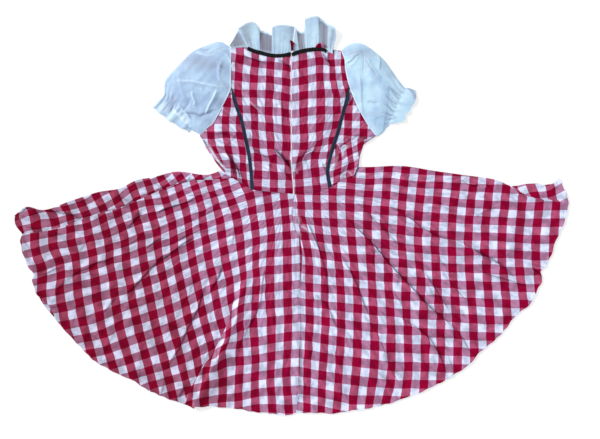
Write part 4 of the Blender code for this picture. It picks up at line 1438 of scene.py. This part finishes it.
@dataclass(kw_only=True)
class Sleeve(Cloth):
    """A flattened puff sleeve, gathered at the armhole and into a frilled cuff."""

    rings: Sequence[Ring]  # its cuts, from the armhole to the edge of the cuff frill
    folds: Sequence[Fold]  # creases of its upper side
    tints: Sequence[Tint]
    phase: float  # shifts its gathers
    elastic: int = 7  # number of the cut where the cuff is drawn in
    puff: float = 8.0  # how far its fullest part rises
    bend: float = 1.15  # how far its edges stand off its middle
    middle: float = 1.75
    # How fast gathers follow each other at the armhole, at the cuff and in the cuff's frill.
    paces: tuple[float, float, float] = (38.0, 57.0, 26.4)
    grid: Grid = Grid(190, 116)
    cut: Cut = Cut(0.40, 0.24, 0.070)
    place: Place = Place.ORGANZA
    wall: float = SHEER

    TUBE = True
    WIDTH = 97  # samples of a cut
    UNEVEN = ((1.7, 5, 1), (0.6, 13, 0))  # how gathers slip: strength, pace, share of the phase
    HEIGHTS = (1.5, 1.9, 4.0)  # of the three kinds of gathers
    FADES = (0.9, 0.75, 1.4)  # number of cuts over which each kind dies out, or grows
    HOLLOWS = (0.35, 0.5)  # shade between the first two kinds
    SOFT = (48, 1.3)  # distance and height of soft humps
    DOME, GATHERED, ROUNDED = 1.1, 0.6, 0.45  # how steeply those three flatten at the edges
    WAVE = 1.6  # how far the edge of the cuff's frill swings in and out
    SEAM = (0.06, 0.07)  # where the painted light along the armhole's edge ends, and over how much
    BRIGHT = -0.9  # strength of that painted light

    def between(self, values: Array, place: Array) -> Array:
        """A smooth run through values given at each cut.

        Args:
            values: One entry for each point and cut.
            place: Number of the cut, with its fraction, for each point.

        Returns:
            One value for each point.
        """
        low = np.minimum(place.astype(int), values.shape[1] - 2)
        part = (place - low).reshape(-1, *[1] * (values.ndim - 2))
        rows = np.arange(len(place))
        return curve(values, np.gradient(values, axis=1), (rows, low), (rows, low + 1), part)

    def lay(self, across: Array, down: Array) -> Laid:
        """Points and weave of the sleeve, for shares round it and down to the cuff."""
        width = (1 - np.cos(2 * math.pi * across)) / 2
        side = np.sin(2 * math.pi * across)
        top = side > 0
        place = down * (len(self.rings) - 1)
        samples = np.linspace(0, 1, self.WIDTH)
        cuts = np.array([Line(cut, smooth=len(cut) < 9).at(samples) for _, *cut in self.rings])
        at = width * (self.WIDTH - 1)
        low = np.minimum(at.astype(int), self.WIDTH - 2)
        columns = np.transpose(cuts, (1, 0, 2))
        plan = self.between(
            blend((at - low)[:, None, None], columns[low], columns[low + 1]), place)
        full = self.between(np.tile([full for full, *_ in self.rings], (len(place), 1)), place)
        uneven = self.phase + sum(
            size * np.sin(pace * width + self.phase * first) for size, pace, first in self.UNEVEN)
        head, cuff, flutes = (pace * width + uneven for pace in self.paces)
        frill = np.clip(place - self.elastic, 0, None)
        held = (np.exp(-place / self.FADES[0]),
                np.exp(-np.abs(place - self.elastic) / self.FADES[1]),
                eased(frill / self.FADES[2]))
        gathers = sum(size * swell(turns) * share
                      for size, turns, share in zip(self.HEIGHTS, (head, cuff, flutes), held))
        folds = creased(plan, (*sheer_ridges(self.folds), *tints(self.tints)))
        raised = (self.puff + rumple(plan, *self.SOFT, self.phase)) * full + folds.height
        flat = np.abs(side)
        rise = raised * flat**self.DOME + gathers * flat**self.GATHERED
        edge = self.bend * np.sign(side) * flat**self.ROUNDED
        height = self.middle + edge + np.where(top, rise, 0)
        way = cuts[-1].mean(0) - cuts[self.elastic].mean(0)
        wave = self.WAVE * eased(frill / 1.5) * np.sin(flutes + 1)
        plan = plan + way / np.hypot(*way) * wave[:, None]
        weave = np.column_stack([plan[:, 0] + 260 * across, plan[:, 1]]) / 20
        folds.marks[:, 1] *= top
        # Painted shade between the gathers at the armhole and at the cuff, and painted light along
        # the edge at the armhole.
        hollows = sum(size * swell(-turns) ** 2 * share
                      for size, turns, share in zip(self.HOLLOWS, (head, cuff), held))
        light = 1 - eased((place - self.SEAM[0]) / self.SEAM[1])
        folds.marks[:, 2] = blend(light, hollows + folds.marks[:, 2], self.BRIGHT) * top
        return np.column_stack([plan, height]), weave, folds.marks


@dataclass
class Sleeves:
    """The two puff sleeves."""

    left_rings: Sequence[Ring] = (
        (0.12, *ARMHOLE_LEFT), (0.8, (-186, 451), (-190, 330), (-242, 213)),
        (1.0, (-214, 444), (-212, 330), (-246, 215)), (1.0, (-250, 429), (-236, 322), (-250, 217)),
        (1.0, (-271, 413), (-246, 316), (-252, 218)), (0.9, (-290, 393), (-256, 310), (-254, 219)),
        (0.6, (-326, 353), (-280, 292), (-257, 221)), (0.1, (-331, 316), (-294, 276), (-260, 223)),
        (0.2, (-343, 300), (-303, 264), (-262, 222)),
        (0.15, (-360, 281), (-316, 245), (-266, 217)))
    right_rings: Sequence[Ring] = (
        (0.12, *ARMHOLE_RIGHT), (0.8, (147, 443), (174, 330), (224, 206)),
        (1.0, (172, 448), (198, 335), (229, 209)), (1.0, (196, 440), (220, 330), (233, 212)),
        (0.86, (225, 418), (240, 325), (237, 215)), (0.7, (244, 400), (249, 322), (239, 218)),
        (0.45, (258, 380), (256, 317), (241, 220)), (0.12, (290, 336), (273, 292), (247, 229)),
        (0.2, (305, 331), (285, 278), (252, 233)),
        (0.15, (325, 324), (317, 288), (300, 264), (290, 246), (256, 239)))
    left_folds: Sequence[Fold] = (
        (8, 3.2, -0.3, -1.2, (-256, 430), (-236, 424), (-217, 420), (-200, 429), (-180, 436),
         (-162, 438)),
        (7, 3.0, 0.4, -0.9, (-314, 350), (-300, 349), (-280, 347), (-262, 347), (-247, 343),
         (-225, 339), (-200, 334), (-162, 332)),
        (7, 2.8, 0.4, -0.8, (-290, 386), (-290, 374), (-289, 352), (-286, 338), (-280, 318),
         (-270, 300)),
        (7, 2.8, -0.5, -0.6, (-258, 324), (-257, 316), (-254, 304), (-250, 292), (-258, 284)),
        (11, -3.2, 0.3, 0.4, (-261, 308), (-266, 290), (-280, 274), (-290, 270)),
        (10, -3.4, 0.5, 0.7, (-284, 272), (-269, 265), (-251, 262), (-238, 257), (-225, 262),
         (-208, 269), (-190, 274)),
        (8, 2.8, -0.4, -0.9, (-190, 330), (-194, 322), (-204, 300), (-212, 286), (-218, 272),
         (-226, 254)),
        (7, 2.8, 0.4, -0.9, (-172, 402), (-182, 394), (-186, 376), (-186, 360), (-178, 348),
         (-164, 336)),
        (6, 2.0, 0.0, -0.6, (-196, 398), (-188, 392), (-184, 384)),
        (7, 2.2, 0.0, 0.3, (-170, 422), (-162, 410), (-155, 394)),
        (7, -2.2, 0.3, 0.8, (-300, 318), (-312, 298), (-327, 276), (-338, 262)),
        (7, -2.2, -0.3, 0.7, (-298, 300), (-306, 284), (-318, 262)),
        (6, -2.0, 0.3, 0.7, (-318, 322), (-326, 305), (-342, 288)),
        (6, -1.8, 0.3, 0.5, (-326, 300), (-338, 290), (-350, 278)),
        (6, 2.2, 0.3, 0.8, (-296, 292), (-283, 276), (-268, 258), (-256, 244)),
        (9, 2.0, -0.3, -1.8, (-308, 282), (-292, 264), (-274, 248), (-258, 238)),
        (6, 1.8, -0.3, -0.7, (-290, 290), (-276, 272), (-262, 254)),
        (6, 1.8, 0.2, 0.4, (-236, 330), (-226, 322), (-210, 314)))
    right_folds: Sequence[Fold] = (
        (7, 2.8, 0.4, 0.8, (136, 411), (142, 412), (155, 417), (170, 422), (182, 432)),
        (7, 2.4, -0.4, 0.7, (138, 396), (152, 402), (162, 412), (176, 422)),
        (8, -2.4, 0.4, 0.9, (188, 436), (188, 422), (190, 404), (190, 384), (186, 360)),
        (8, 3.4, -0.5, 1.0, (194, 414), (200, 396), (210, 380), (218, 368), (226, 352),
         (231, 342)),
        (7, 2.6, 0.4, 0.45, (224, 418), (229, 408), (229, 392), (228, 376)),
        (9, 2.0, 0.4, 0.25, (172, 366), (178, 350), (180, 330), (180, 300), (184, 272),
         (192, 252)),
        (15, 3.0, -0.5, 0.0, (196, 356), (204, 352), (225, 339), (251, 326), (277, 308)),
        (8, -2.2, 0.0, 0.5, (196, 296), (209, 290), (228, 290)),
        (7, 2.6, 0.5, 0.8, (205, 246), (214, 254), (228, 262), (240, 264), (254, 258), (266, 256),
         (276, 246)),
        (6, 1.8, 0.0, -0.6, (146, 386), (158, 392), (168, 404), (176, 416)),
        (7, -2.0, 0.3, 0.8, (246, 334), (262, 322), (276, 312), (290, 300)),
        (6, -2.0, -0.3, 0.8, (240, 312), (254, 306), (266, 294), (282, 288)),
        (6, -1.8, -0.3, 0.6, (236, 292), (252, 286), (262, 274), (276, 268)),
        (6, 2.0, 0.3, -0.8, (254, 320), (268, 306), (278, 290), (288, 276)),
        (6, 1.8, 0.3, -0.6, (276, 336), (286, 322), (292, 306)))

    # Painted shade over stretches of the left sleeve, and painted light where negative.
    left_tints: Sequence[Tint] = (
        (12, -0.7, (-302, 268), (-284, 252), (-262, 236)),
        (40, 0.4, (-296, 390), (-240, 396), (-180, 376)),
        (26, -0.45, (-350, 304), (-324, 266), (-290, 236)),
        (6, 0.4, (-266, 434), (-244, 432), (-222, 427), (-204, 432)),
        (14, 0.18, (-262, 262), (-240, 252), (-214, 262)))
    # Painted shade over stretches of the right sleeve, and painted light where negative.
    right_tints: Sequence[Tint] = (
        (34, -0.2, (196, 330), (222, 312), (250, 300), (272, 298)),
        (11, 0.6, (298, 340), (314, 319), (322, 292)),
        (30, 0.3, (140, 408), (172, 420), (204, 420), (230, 400)),
        (22, 0.2, (205, 424), (228, 396), (252, 370), (280, 344)),
        (14, 0.16, (156, 372), (168, 340), (178, 300)))

    def build(self, left: Material, right: Material) -> None:
        """Build both sleeves: the left from a copy darkened as painted shade, the right from one
        lit as painted light.
        """
        Sleeve(node="sleeve_left", rings=self.left_rings, folds=self.left_folds,
               tints=self.left_tints, phase=0.4).build(left)
        Sleeve(node="sleeve_right", rings=self.right_rings, folds=self.right_folds,
               tints=self.right_tints, phase=2.3).build(right)


# --- neckline ---


# A line of the neck frill: x of its start on the neckline, its end, its height, and how much
# painted shade of a grey hollow it has.
Flute = tuple[float, float, float, float, float]


@dataclass(kw_only=True)
class Frill(Cloth):
    """One half of the gathered frill at the back of the neck."""

    neckline: Points  # what it is sewn to
    flutes: Sequence[Flute]  # its lines, from left to right
    phase: float  # shifts its gathers
    gather: float = 7.5  # distance between two fine gathers at the seam
    depth: float = 1.3  # height of those gathers
    grid: Grid = Grid(230, 44)
    place: Place = Place.ORGANZA
    wall: float = SHEER

    STIFF = 0.65  # how straight the edge runs from flute to flute
    HELD = 0.22  # share of the width over which the gathers die out
    SEWN = 0.14  # share of the width over which they rise from the seam
    LONG = 0.6  # height of the long soft pleats
    HEM, HEMMED = 0.9, 0.93  # height of the hem, and the share of the width where it starts
    CURLED = 1.6  # how late the flutes rise
    BETWEEN = 0.4  # shade between two gathers
    BRIGHT = -0.8  # painted light along the hem

    def lay(self, across: Array, down: Array) -> Laid:
        """Points and weave of the frill, for shares along and out from the neckline."""
        place = across * (len(self.flutes) - 1)
        columns = np.array(self.flutes)
        low = np.minimum(place.astype(int), len(columns) - 2)
        part = (place - low)[:, None]
        smooth = curve(columns, np.gradient(columns, axis=0), low, low + 1, part)
        straight = blend(part, columns[low], columns[low + 1])
        start = straight[:, 0]
        base = np.column_stack([start, np.interp(start, *zip(*self.neckline))])
        tip = blend(self.STIFF, smooth[:, 1:3], straight[:, 1:3])
        rise = np.clip(blend(0.5, smooth[:, 3], straight[:, 3]), 0, None)
        plan = blend(down[:, None], base, tip)
        ways = (start * 2 * math.pi / self.gather + 2.4 * np.sin(start / 9 + self.phase)
                + 1.1 * np.sin(start / 3.7))
        held = np.exp(-down / (self.HELD + 0.1 * np.sin(start / 6 + self.phase)))
        gathers = self.depth * swell(ways) * held * eased(down / self.SEWN)
        long = self.LONG * swell(ways / 2.3 + self.phase) * down
        hem = self.HEM * eased((down - self.HEMMED) / 0.03)
        height = BACK_LEVEL + 0.5 + rise * down**self.CURLED + gathers + long + hem
        weave = np.column_stack([across * 16, down * 3.6])
        # Painted shade in the grey hollows of the flutes and between the gathers, and painted
        # light along the hem.
        hollow = straight[:, 4] * eased(down / 0.3 + 0.2) * (1 - eased((down - 0.9) / 0.04))
        hollow += self.BETWEEN * swell(-ways) ** 2 * held
        hollow += self.BRIGHT * eased((down - self.HEMMED - 0.015) / 0.02)
        marks = np.column_stack([np.full(len(down), MARKED), np.zeros(len(down)), hollow])
        return np.column_stack([plan, height]), weave, marks


@dataclass(kw_only=True)
class Band(Cloth):
    """A narrow trim that lies along a line."""

    line: Points
    width: float
    ground: Ground  # height of what it lies on
    crown: float = 0.5  # how much its middle stands above its edges
    pointed: float = 0.0  # length of a pointed start
    grid: Grid = Grid(14, 150)

    def lay(self, across: Array, down: Array) -> Laid:
        """Points and weave of the band, for shares across it and along it."""
        line = Line(self.line, smooth=True)
        ahead = line.at(np.minimum(down + 0.01, 1)) - line.at(np.maximum(down - 0.01, 0))
        half = self.width / 2 * (1 + 0.05 * np.sin(down * line.length / 19))
        if self.pointed:
            half *= 0.25 + 0.75 * eased(down * line.length / self.pointed)
        off = 2 * across - 1
        plan = line.at(down) + lefts_of(ahead) * (off * half)[:, None]
        height = self.ground(plan) + COTTON / 2 + self.wall / 2 + self.crown * (1 - off**2)
        height -= eased((np.abs(off) - 0.62) / 0.2) * (1 - np.abs(off))
        weave = np.column_stack([off * half, down * line.length]) / 10
        return np.column_stack([plan, height]), weave, None


@dataclass
class Neck:
    """The frills and the black bindings of the neckline, back and front."""

    width: float = 9.5
    front_width: float = 50.0
    front_gather: float = 6.5  # distance between two gathers of the front's frill
    front_aim: Pair = (0, 440)
    facing_level: float = 8.0
    facing: Sequence[Points] = (
        ((-0.5, 426), (-1.5, 440), (-4, 454)), ((5.5, 428), (5, 438), (8, 446)),
        ((-0.5, 426), (5.5, 428)), ((-4, 454), (3, 452), (8, 446)))
    left_line: Points = (
        (-114, 434), (-99, 427.5), (-83, 423), (-60, 417), (-38, 414.5), (-18, 416), (-1.4, 420))
    right_line: Points = ((1.4, 417.5), (21, 425), (47, 430), (73, 432), (84, 430), (91, 425))
    left_flutes: Sequence[Flute] = (
        (-155, -161, 441, 0.5, 0.6), (-143, -152, 455, 1, 0.8), (-128, -143, 473, 2, 0.75),
        (-117, -138.5, 481, 4, 0.6), (-114, -137, 484, 13, 0.0), (-108, -126, 491, 15, 0.5),
        (-102, -116, 497, 17, 0.35), (-95, -103, 500, 18, 0.0), (-88, -92, 497, 16, 0.0),
        (-82, -84, 487.5, 11, 0.1), (-80, -80.5, 480, 2.5, 0.9), (-71, -71.5, 478, 1.5, 0.8),
        (-61, -61, 474.5, 1.5, 0.75), (-52, -51, 470.5, 3, 0.9), (-50, -49.5, 486, 12, 0.0),
        (-43, -43, 490, 14, 0.3), (-34, -35, 492, 16, 0.0), (-22, -14, 492, 16, 0.05),
        (-11, -1.5, 490, 13, 0.1), (-3, 8.5, 488.5, 9, 0.3))
    right_flutes: Sequence[Flute] = (
        (3, 10.5, 489, 9, 0.1), (18, 13, 484, 8, 0.1), (22, 16, 479, 2, 0.85),
        (29, 24, 476.5, 1.5, 0.8), (35, 33, 478, 2, 0.6), (36, 35.5, 508, 12, 0.0),
        (45, 45.5, 512, 15, 0.15), (60, 61, 515, 18, -0.2), (68, 69, 514, 17, 0.0),
        (76, 74, 511, 13, 0.6), (84, 86, 503, 9, 0.8), (90, 93, 497, 9, 0.7),
        (94, 99, 494, 12, 0.15), (99, 109, 489, 13, 0.5), (102, 116.5, 480, 10, 0.1),
        (104, 117, 467, 7, 0.5), (106, 112, 451, 4, 0.5), (108, 107, 431, 2, 0.6))

    def front_lines(self) -> tuple[Line, Line, Line]:
        """The front neckline, the seam inside its binding, and the edge of its frill."""
        line = np.array(FRONT_NECK, float)
        inside = line + lefts_of(np.gradient(line, axis=0)) * self.width
        aim = np.array(self.front_aim) - inside
        tips = inside + aim / np.hypot(*aim.T)[:, None] * self.front_width
        return Line(FRONT_NECK), Line(inside), Line(tips)

    def front_lay(self, across: Array, down: Array, inner: Line, outer: Line,
                  gathers: float) -> Laid:
        """Points and weave of a strip between two lines of the front neckline.

        Args:
            across: Shares along the neckline.
            down: Shares inwards.
            inner: The line at its seam.
            outer: The line at its edge.
            gathers: Height of its gathers.

        Returns:
            Points and weave.
        """
        plan = blend(down[:, None], inner.at(across), outer.at(across))
        waves = gathers * swell(across * inner.length * 2 * math.pi / self.front_gather)
        height = FRONT_LEVEL + waves * np.exp(-down / 0.5)
        return np.column_stack([plan, height]), np.column_stack([across * 20, down * 3]), None

    def build(self, cloth: Material, cotton: Material, binding: Material, ground: Ground) -> None:
        """Build the neckline's seven pieces.

        Args:
            cloth: Material of the frills.
            cotton: Material of the scrap of facing that stands up at the zip.
            binding: Material of the bindings.
            ground: Height of the back bodice.
        """
        for side, neckline, flutes, cut, phase in (
                ("left", NECK_LEFT, self.left_flutes, Cut(0.20, 0.072, 0.0142), 0.5),
                ("right", NECK_RIGHT, self.right_flutes, Cut(0.16, 0.080, 0.0115), 2.0)):
            Frill(node=f"frill_back_{side}", neckline=neckline, flutes=flutes, cut=cut,
                  phase=phase).build(cloth)
        facing = Patch.between(*self.facing)
        Panel(name="zip_facing_cloth", node="bodice_back_right", patch=facing,
              grid=Grid(8, 16), cut=Cut(0.012, 0.028, 0.00025), weave=straight_weave,
              # Painted shade over the scrap of facing, as on cloth deep in shadow.
              creases=tints([(14, 1.0, (1, 396), (1, 440), (0, 484))]),
              level=self.facing_level).build(cotton)
        for side, line in (("left", self.left_line), ("right", self.right_line)):
            Band(name=f"binding_{side}_tape", node=f"binding_back_{side}", place=Place.BINDING,
                 line=line, width=self.width, ground=lambda plan: ground(plan) + 0.9,
                 cut=Cut(0.017, 0.13, 0.0014), crown=1.2).build(binding)
        neckline, inside, tips = self.front_lines()
        for name, place, inner, outer, gathers, finish, cut in (
                ("binding_front_tape", Place.BINDING, neckline, inside, 0.0, binding,
                 Cut(0.017, 0.40, 0.0045)),
                ("frill_front_cloth", Place.ORGANZA, inside, tips, 0.9, cloth,
                 Cut(0.62, 0.05, 0.02))):
            lay = partial(self.front_lay, inner=inner, outer=outer, gathers=gathers)
            Cloth(name=name, node=name.rsplit("_", 1)[0], grid=Grid(220, 14), cut=cut,
                  place=place, wall=SHEER, laying=lay).build(finish)


@dataclass
class Trims:
    """The two blue ribbons on the seams of the back, and the zip between its halves."""

    ribbon_width: float = 8.8
    ribbon_point: float = 26.0
    left_line: Points = (
        (-155.5, 330), (-144, 287), (-130, 247), (-119, 198), (-110, 155), (-105, 111), (-102, 68))
    right_line: Points = (
        (149, 332), (145, 305), (133, 264), (122, 221), (107, 175), (96, 131), (94, 111),
        (100, 74))
    chain_width: float = 2.7
    pitch: float = 2.4
    slider: tuple[float, float, float] = (0, 417, BACK_LEVEL - 0.4)
    # Width, length and thickness of the slider's blocks, and height of their middles.
    blocks: Sequence[tuple[float, float, float, float]] = (
        (4.2, 9.0, 0.7, 0.35), (3.864, 8.1, 0.7, 1.85), (1.26, 2.7, 2.2, 1.1),
        (1.176, 4.95, 0.9, 2.55))
    tucked: float = 1.2  # how much lower the chain lies in the skirt, where the seam covers it

    def chain_lay(self, across: Array, down: Array) -> Laid:
        """Points and weave of the closed coil, whose turns stand up on either side by turns."""
        line = Line(((0, 411), (0, 131), (6, 56), (6, -20)))
        off = 2 * across - 1
        plan = line.at(down)
        plan[:, 0] += off * self.chain_width / 2
        turns = swell(2 * math.pi * down * line.length / self.pitch + math.pi * (off > 0))
        height = BACK_LEVEL + body_height(plan) - 0.5 + 0.7 * turns * (1 - off**2)
        height -= self.tucked * eased((WAIST[2][1] - plan[:, 1]) / 8)
        return np.column_stack([plan, height]), plan / 10, None

    def make_slider(self, nylon: Material) -> None:
        """Build the slider at the top of the zip: two rounded plates, a bridge and a neck."""
        body = bmesh.new()
        for *size, lift in self.blocks:
            made = bmesh.ops.create_cube(body, size=1.0)
            bmesh.ops.scale(body, vec=size, verts=made["verts"])
            bmesh.ops.translate(body, vec=(0, 0, lift), verts=made["verts"])
            edges = {edge for vert in made["verts"] for edge in vert.link_edges}
            bmesh.ops.bevel(body, geom=list(edges), offset=0.25, affect="EDGES", segments=3,
                            profile=0.5, material=-1)
        bmesh.ops.translate(body, vec=self.slider, verts=body.verts)
        bmesh.ops.scale(body, vec=(MM, MM, MM), verts=body.verts)
        bmesh.ops.recalc_face_normals(body, faces=body.faces)
        mesh = bpy.data.meshes.new("zip_slider_body")
        body.to_mesh(mesh)
        body.free()
        dress_up(mesh, nylon, 40)
        settle(linked("zip_slider_body", mesh), "zip_slider")

    def build(self, blue: Material, nylon: Material, ground: Ground) -> None:
        """Build the ribbons and the zip.

        Args:
            blue: Material of the ribbons.
            nylon: Material of the zip.
            ground: Height of the back bodice.
        """
        for side, line in (("left", self.left_line), ("right", self.right_line)):
            Band(name=f"ribbon_{side}_tape", node=f"ribbon_{side}", place=Place.RIBBON,
                 line=line, width=self.ribbon_width, ground=ground,
                 cut=Cut(0.010, 0.27, 0.0026), pointed=self.ribbon_point).build(blue)
        Cloth(name="zip_chain_coil", node="zip_chain", grid=Grid(6, 700), place=Place.ZIP,
              wall=0.8, laying=self.chain_lay).build(nylon)
        self.make_slider(nylon)


# --- floor, light and camera ---


@dataclass
class Studio:
    """The pale floor, the soft light from the upper left, and the camera overhead."""

    floor: float = 5.0
    drop: float = 0.0002  # how far the floor lies below the dress
    centre: Pair = (0.0221, -0.0104)
    view: float = 1.56  # width of the picture, in metres
    lens: float = 70.0
    sensor: float = 36.0
    sky: float = 0.60
    sky_colour: tuple[float, ...] = (0.93, 0.96, 1.0, 1.0)
    key: float = 2.8
    key_place: tuple[float, float, float] = (-2.4, 1.5, 2.0)
    key_spread: float = 20.0

    def lay_floor(self) -> None:
        """Lay the floor just below the dress."""
        bare = bmesh.new()
        bmesh.ops.create_grid(bare, x_segments=1, y_segments=1, size=self.floor / 2)
        bmesh.ops.translate(bare, vec=(0, 0, -self.drop), verts=bare.verts)
        mesh = bpy.data.meshes.new("pale_floor")
        bare.to_mesh(mesh)
        bare.free()
        mesh.materials.append(Paper().material())
        linked("pale_floor", mesh)

    def light(self) -> None:
        """Shine an even, soft light onto the middle of the floor, under a pale sky."""
        lamp = bpy.data.lights.new("key", "SUN")
        lamp.energy = self.key
        lamp.angle = math.radians(self.key_spread)
        hung = linked("key", lamp)
        hung.location = self.key_place
        hung.rotation_euler = (-Vector(self.key_place)).to_track_quat("-Z", "Y").to_euler()
        world = bpy.data.worlds.new("soft_sky")
        world.use_nodes = True
        sky = world.node_tree.nodes["Background"]
        sky.inputs["Color"].default_value = self.sky_colour
        sky.inputs["Strength"].default_value = self.sky
        bpy.context.scene.world = world

    def build(self) -> None:
        """Set up the floor, the light and the camera."""
        self.lay_floor()
        self.light()
        camera = bpy.data.cameras.new("overhead")
        camera.lens = self.lens
        camera.sensor_width = self.sensor
        held = linked("overhead", camera)
        held.location = (*self.centre, self.view * self.lens / self.sensor)
        bpy.context.scene.camera = held
        bpy.context.scene.view_settings.view_transform = "Standard"


def main() -> None:
    """Build the dress and its studio."""
    logging.basicConfig(level=logging.INFO, format="%(name)s: %(message)s")
    cotton = CheckedCotton().material()
    # The sleeves get darker and lighter copies of one organza: painted shade on the left, painted
    # light on the right.
    shaded_left_sheer = SheerCloth(light="B6D4F0", shade="A2BEE0").material()
    lit_right_sheer = SheerCloth("lit_organza", "C2E4F8", "ACCEEC").material()
    frilled = SheerCloth("frill_organza", "CCECFE", "B4D2EE", "766C7C").material()
    binding = Trim("black_binding", "030305", "08080B", 0.7).material()
    blue = Trim("blue_ribbon", "122334", "22384C", 0.6).material()
    nylon = Trim("zip_nylon", "E4DDE3", "F3EEF2", 0.4).material()
    bodice = Bodice()
    Skirt().build(cotton)
    bodice.build(cotton)
    Sleeves().build(shaded_left_sheer, lit_right_sheer)
    Neck().build(frilled, cotton, binding, bodice.height)
    Trims().build(blue, nylon, bodice.height)
    Studio().build()


if __name__ == "__main__":
    main()
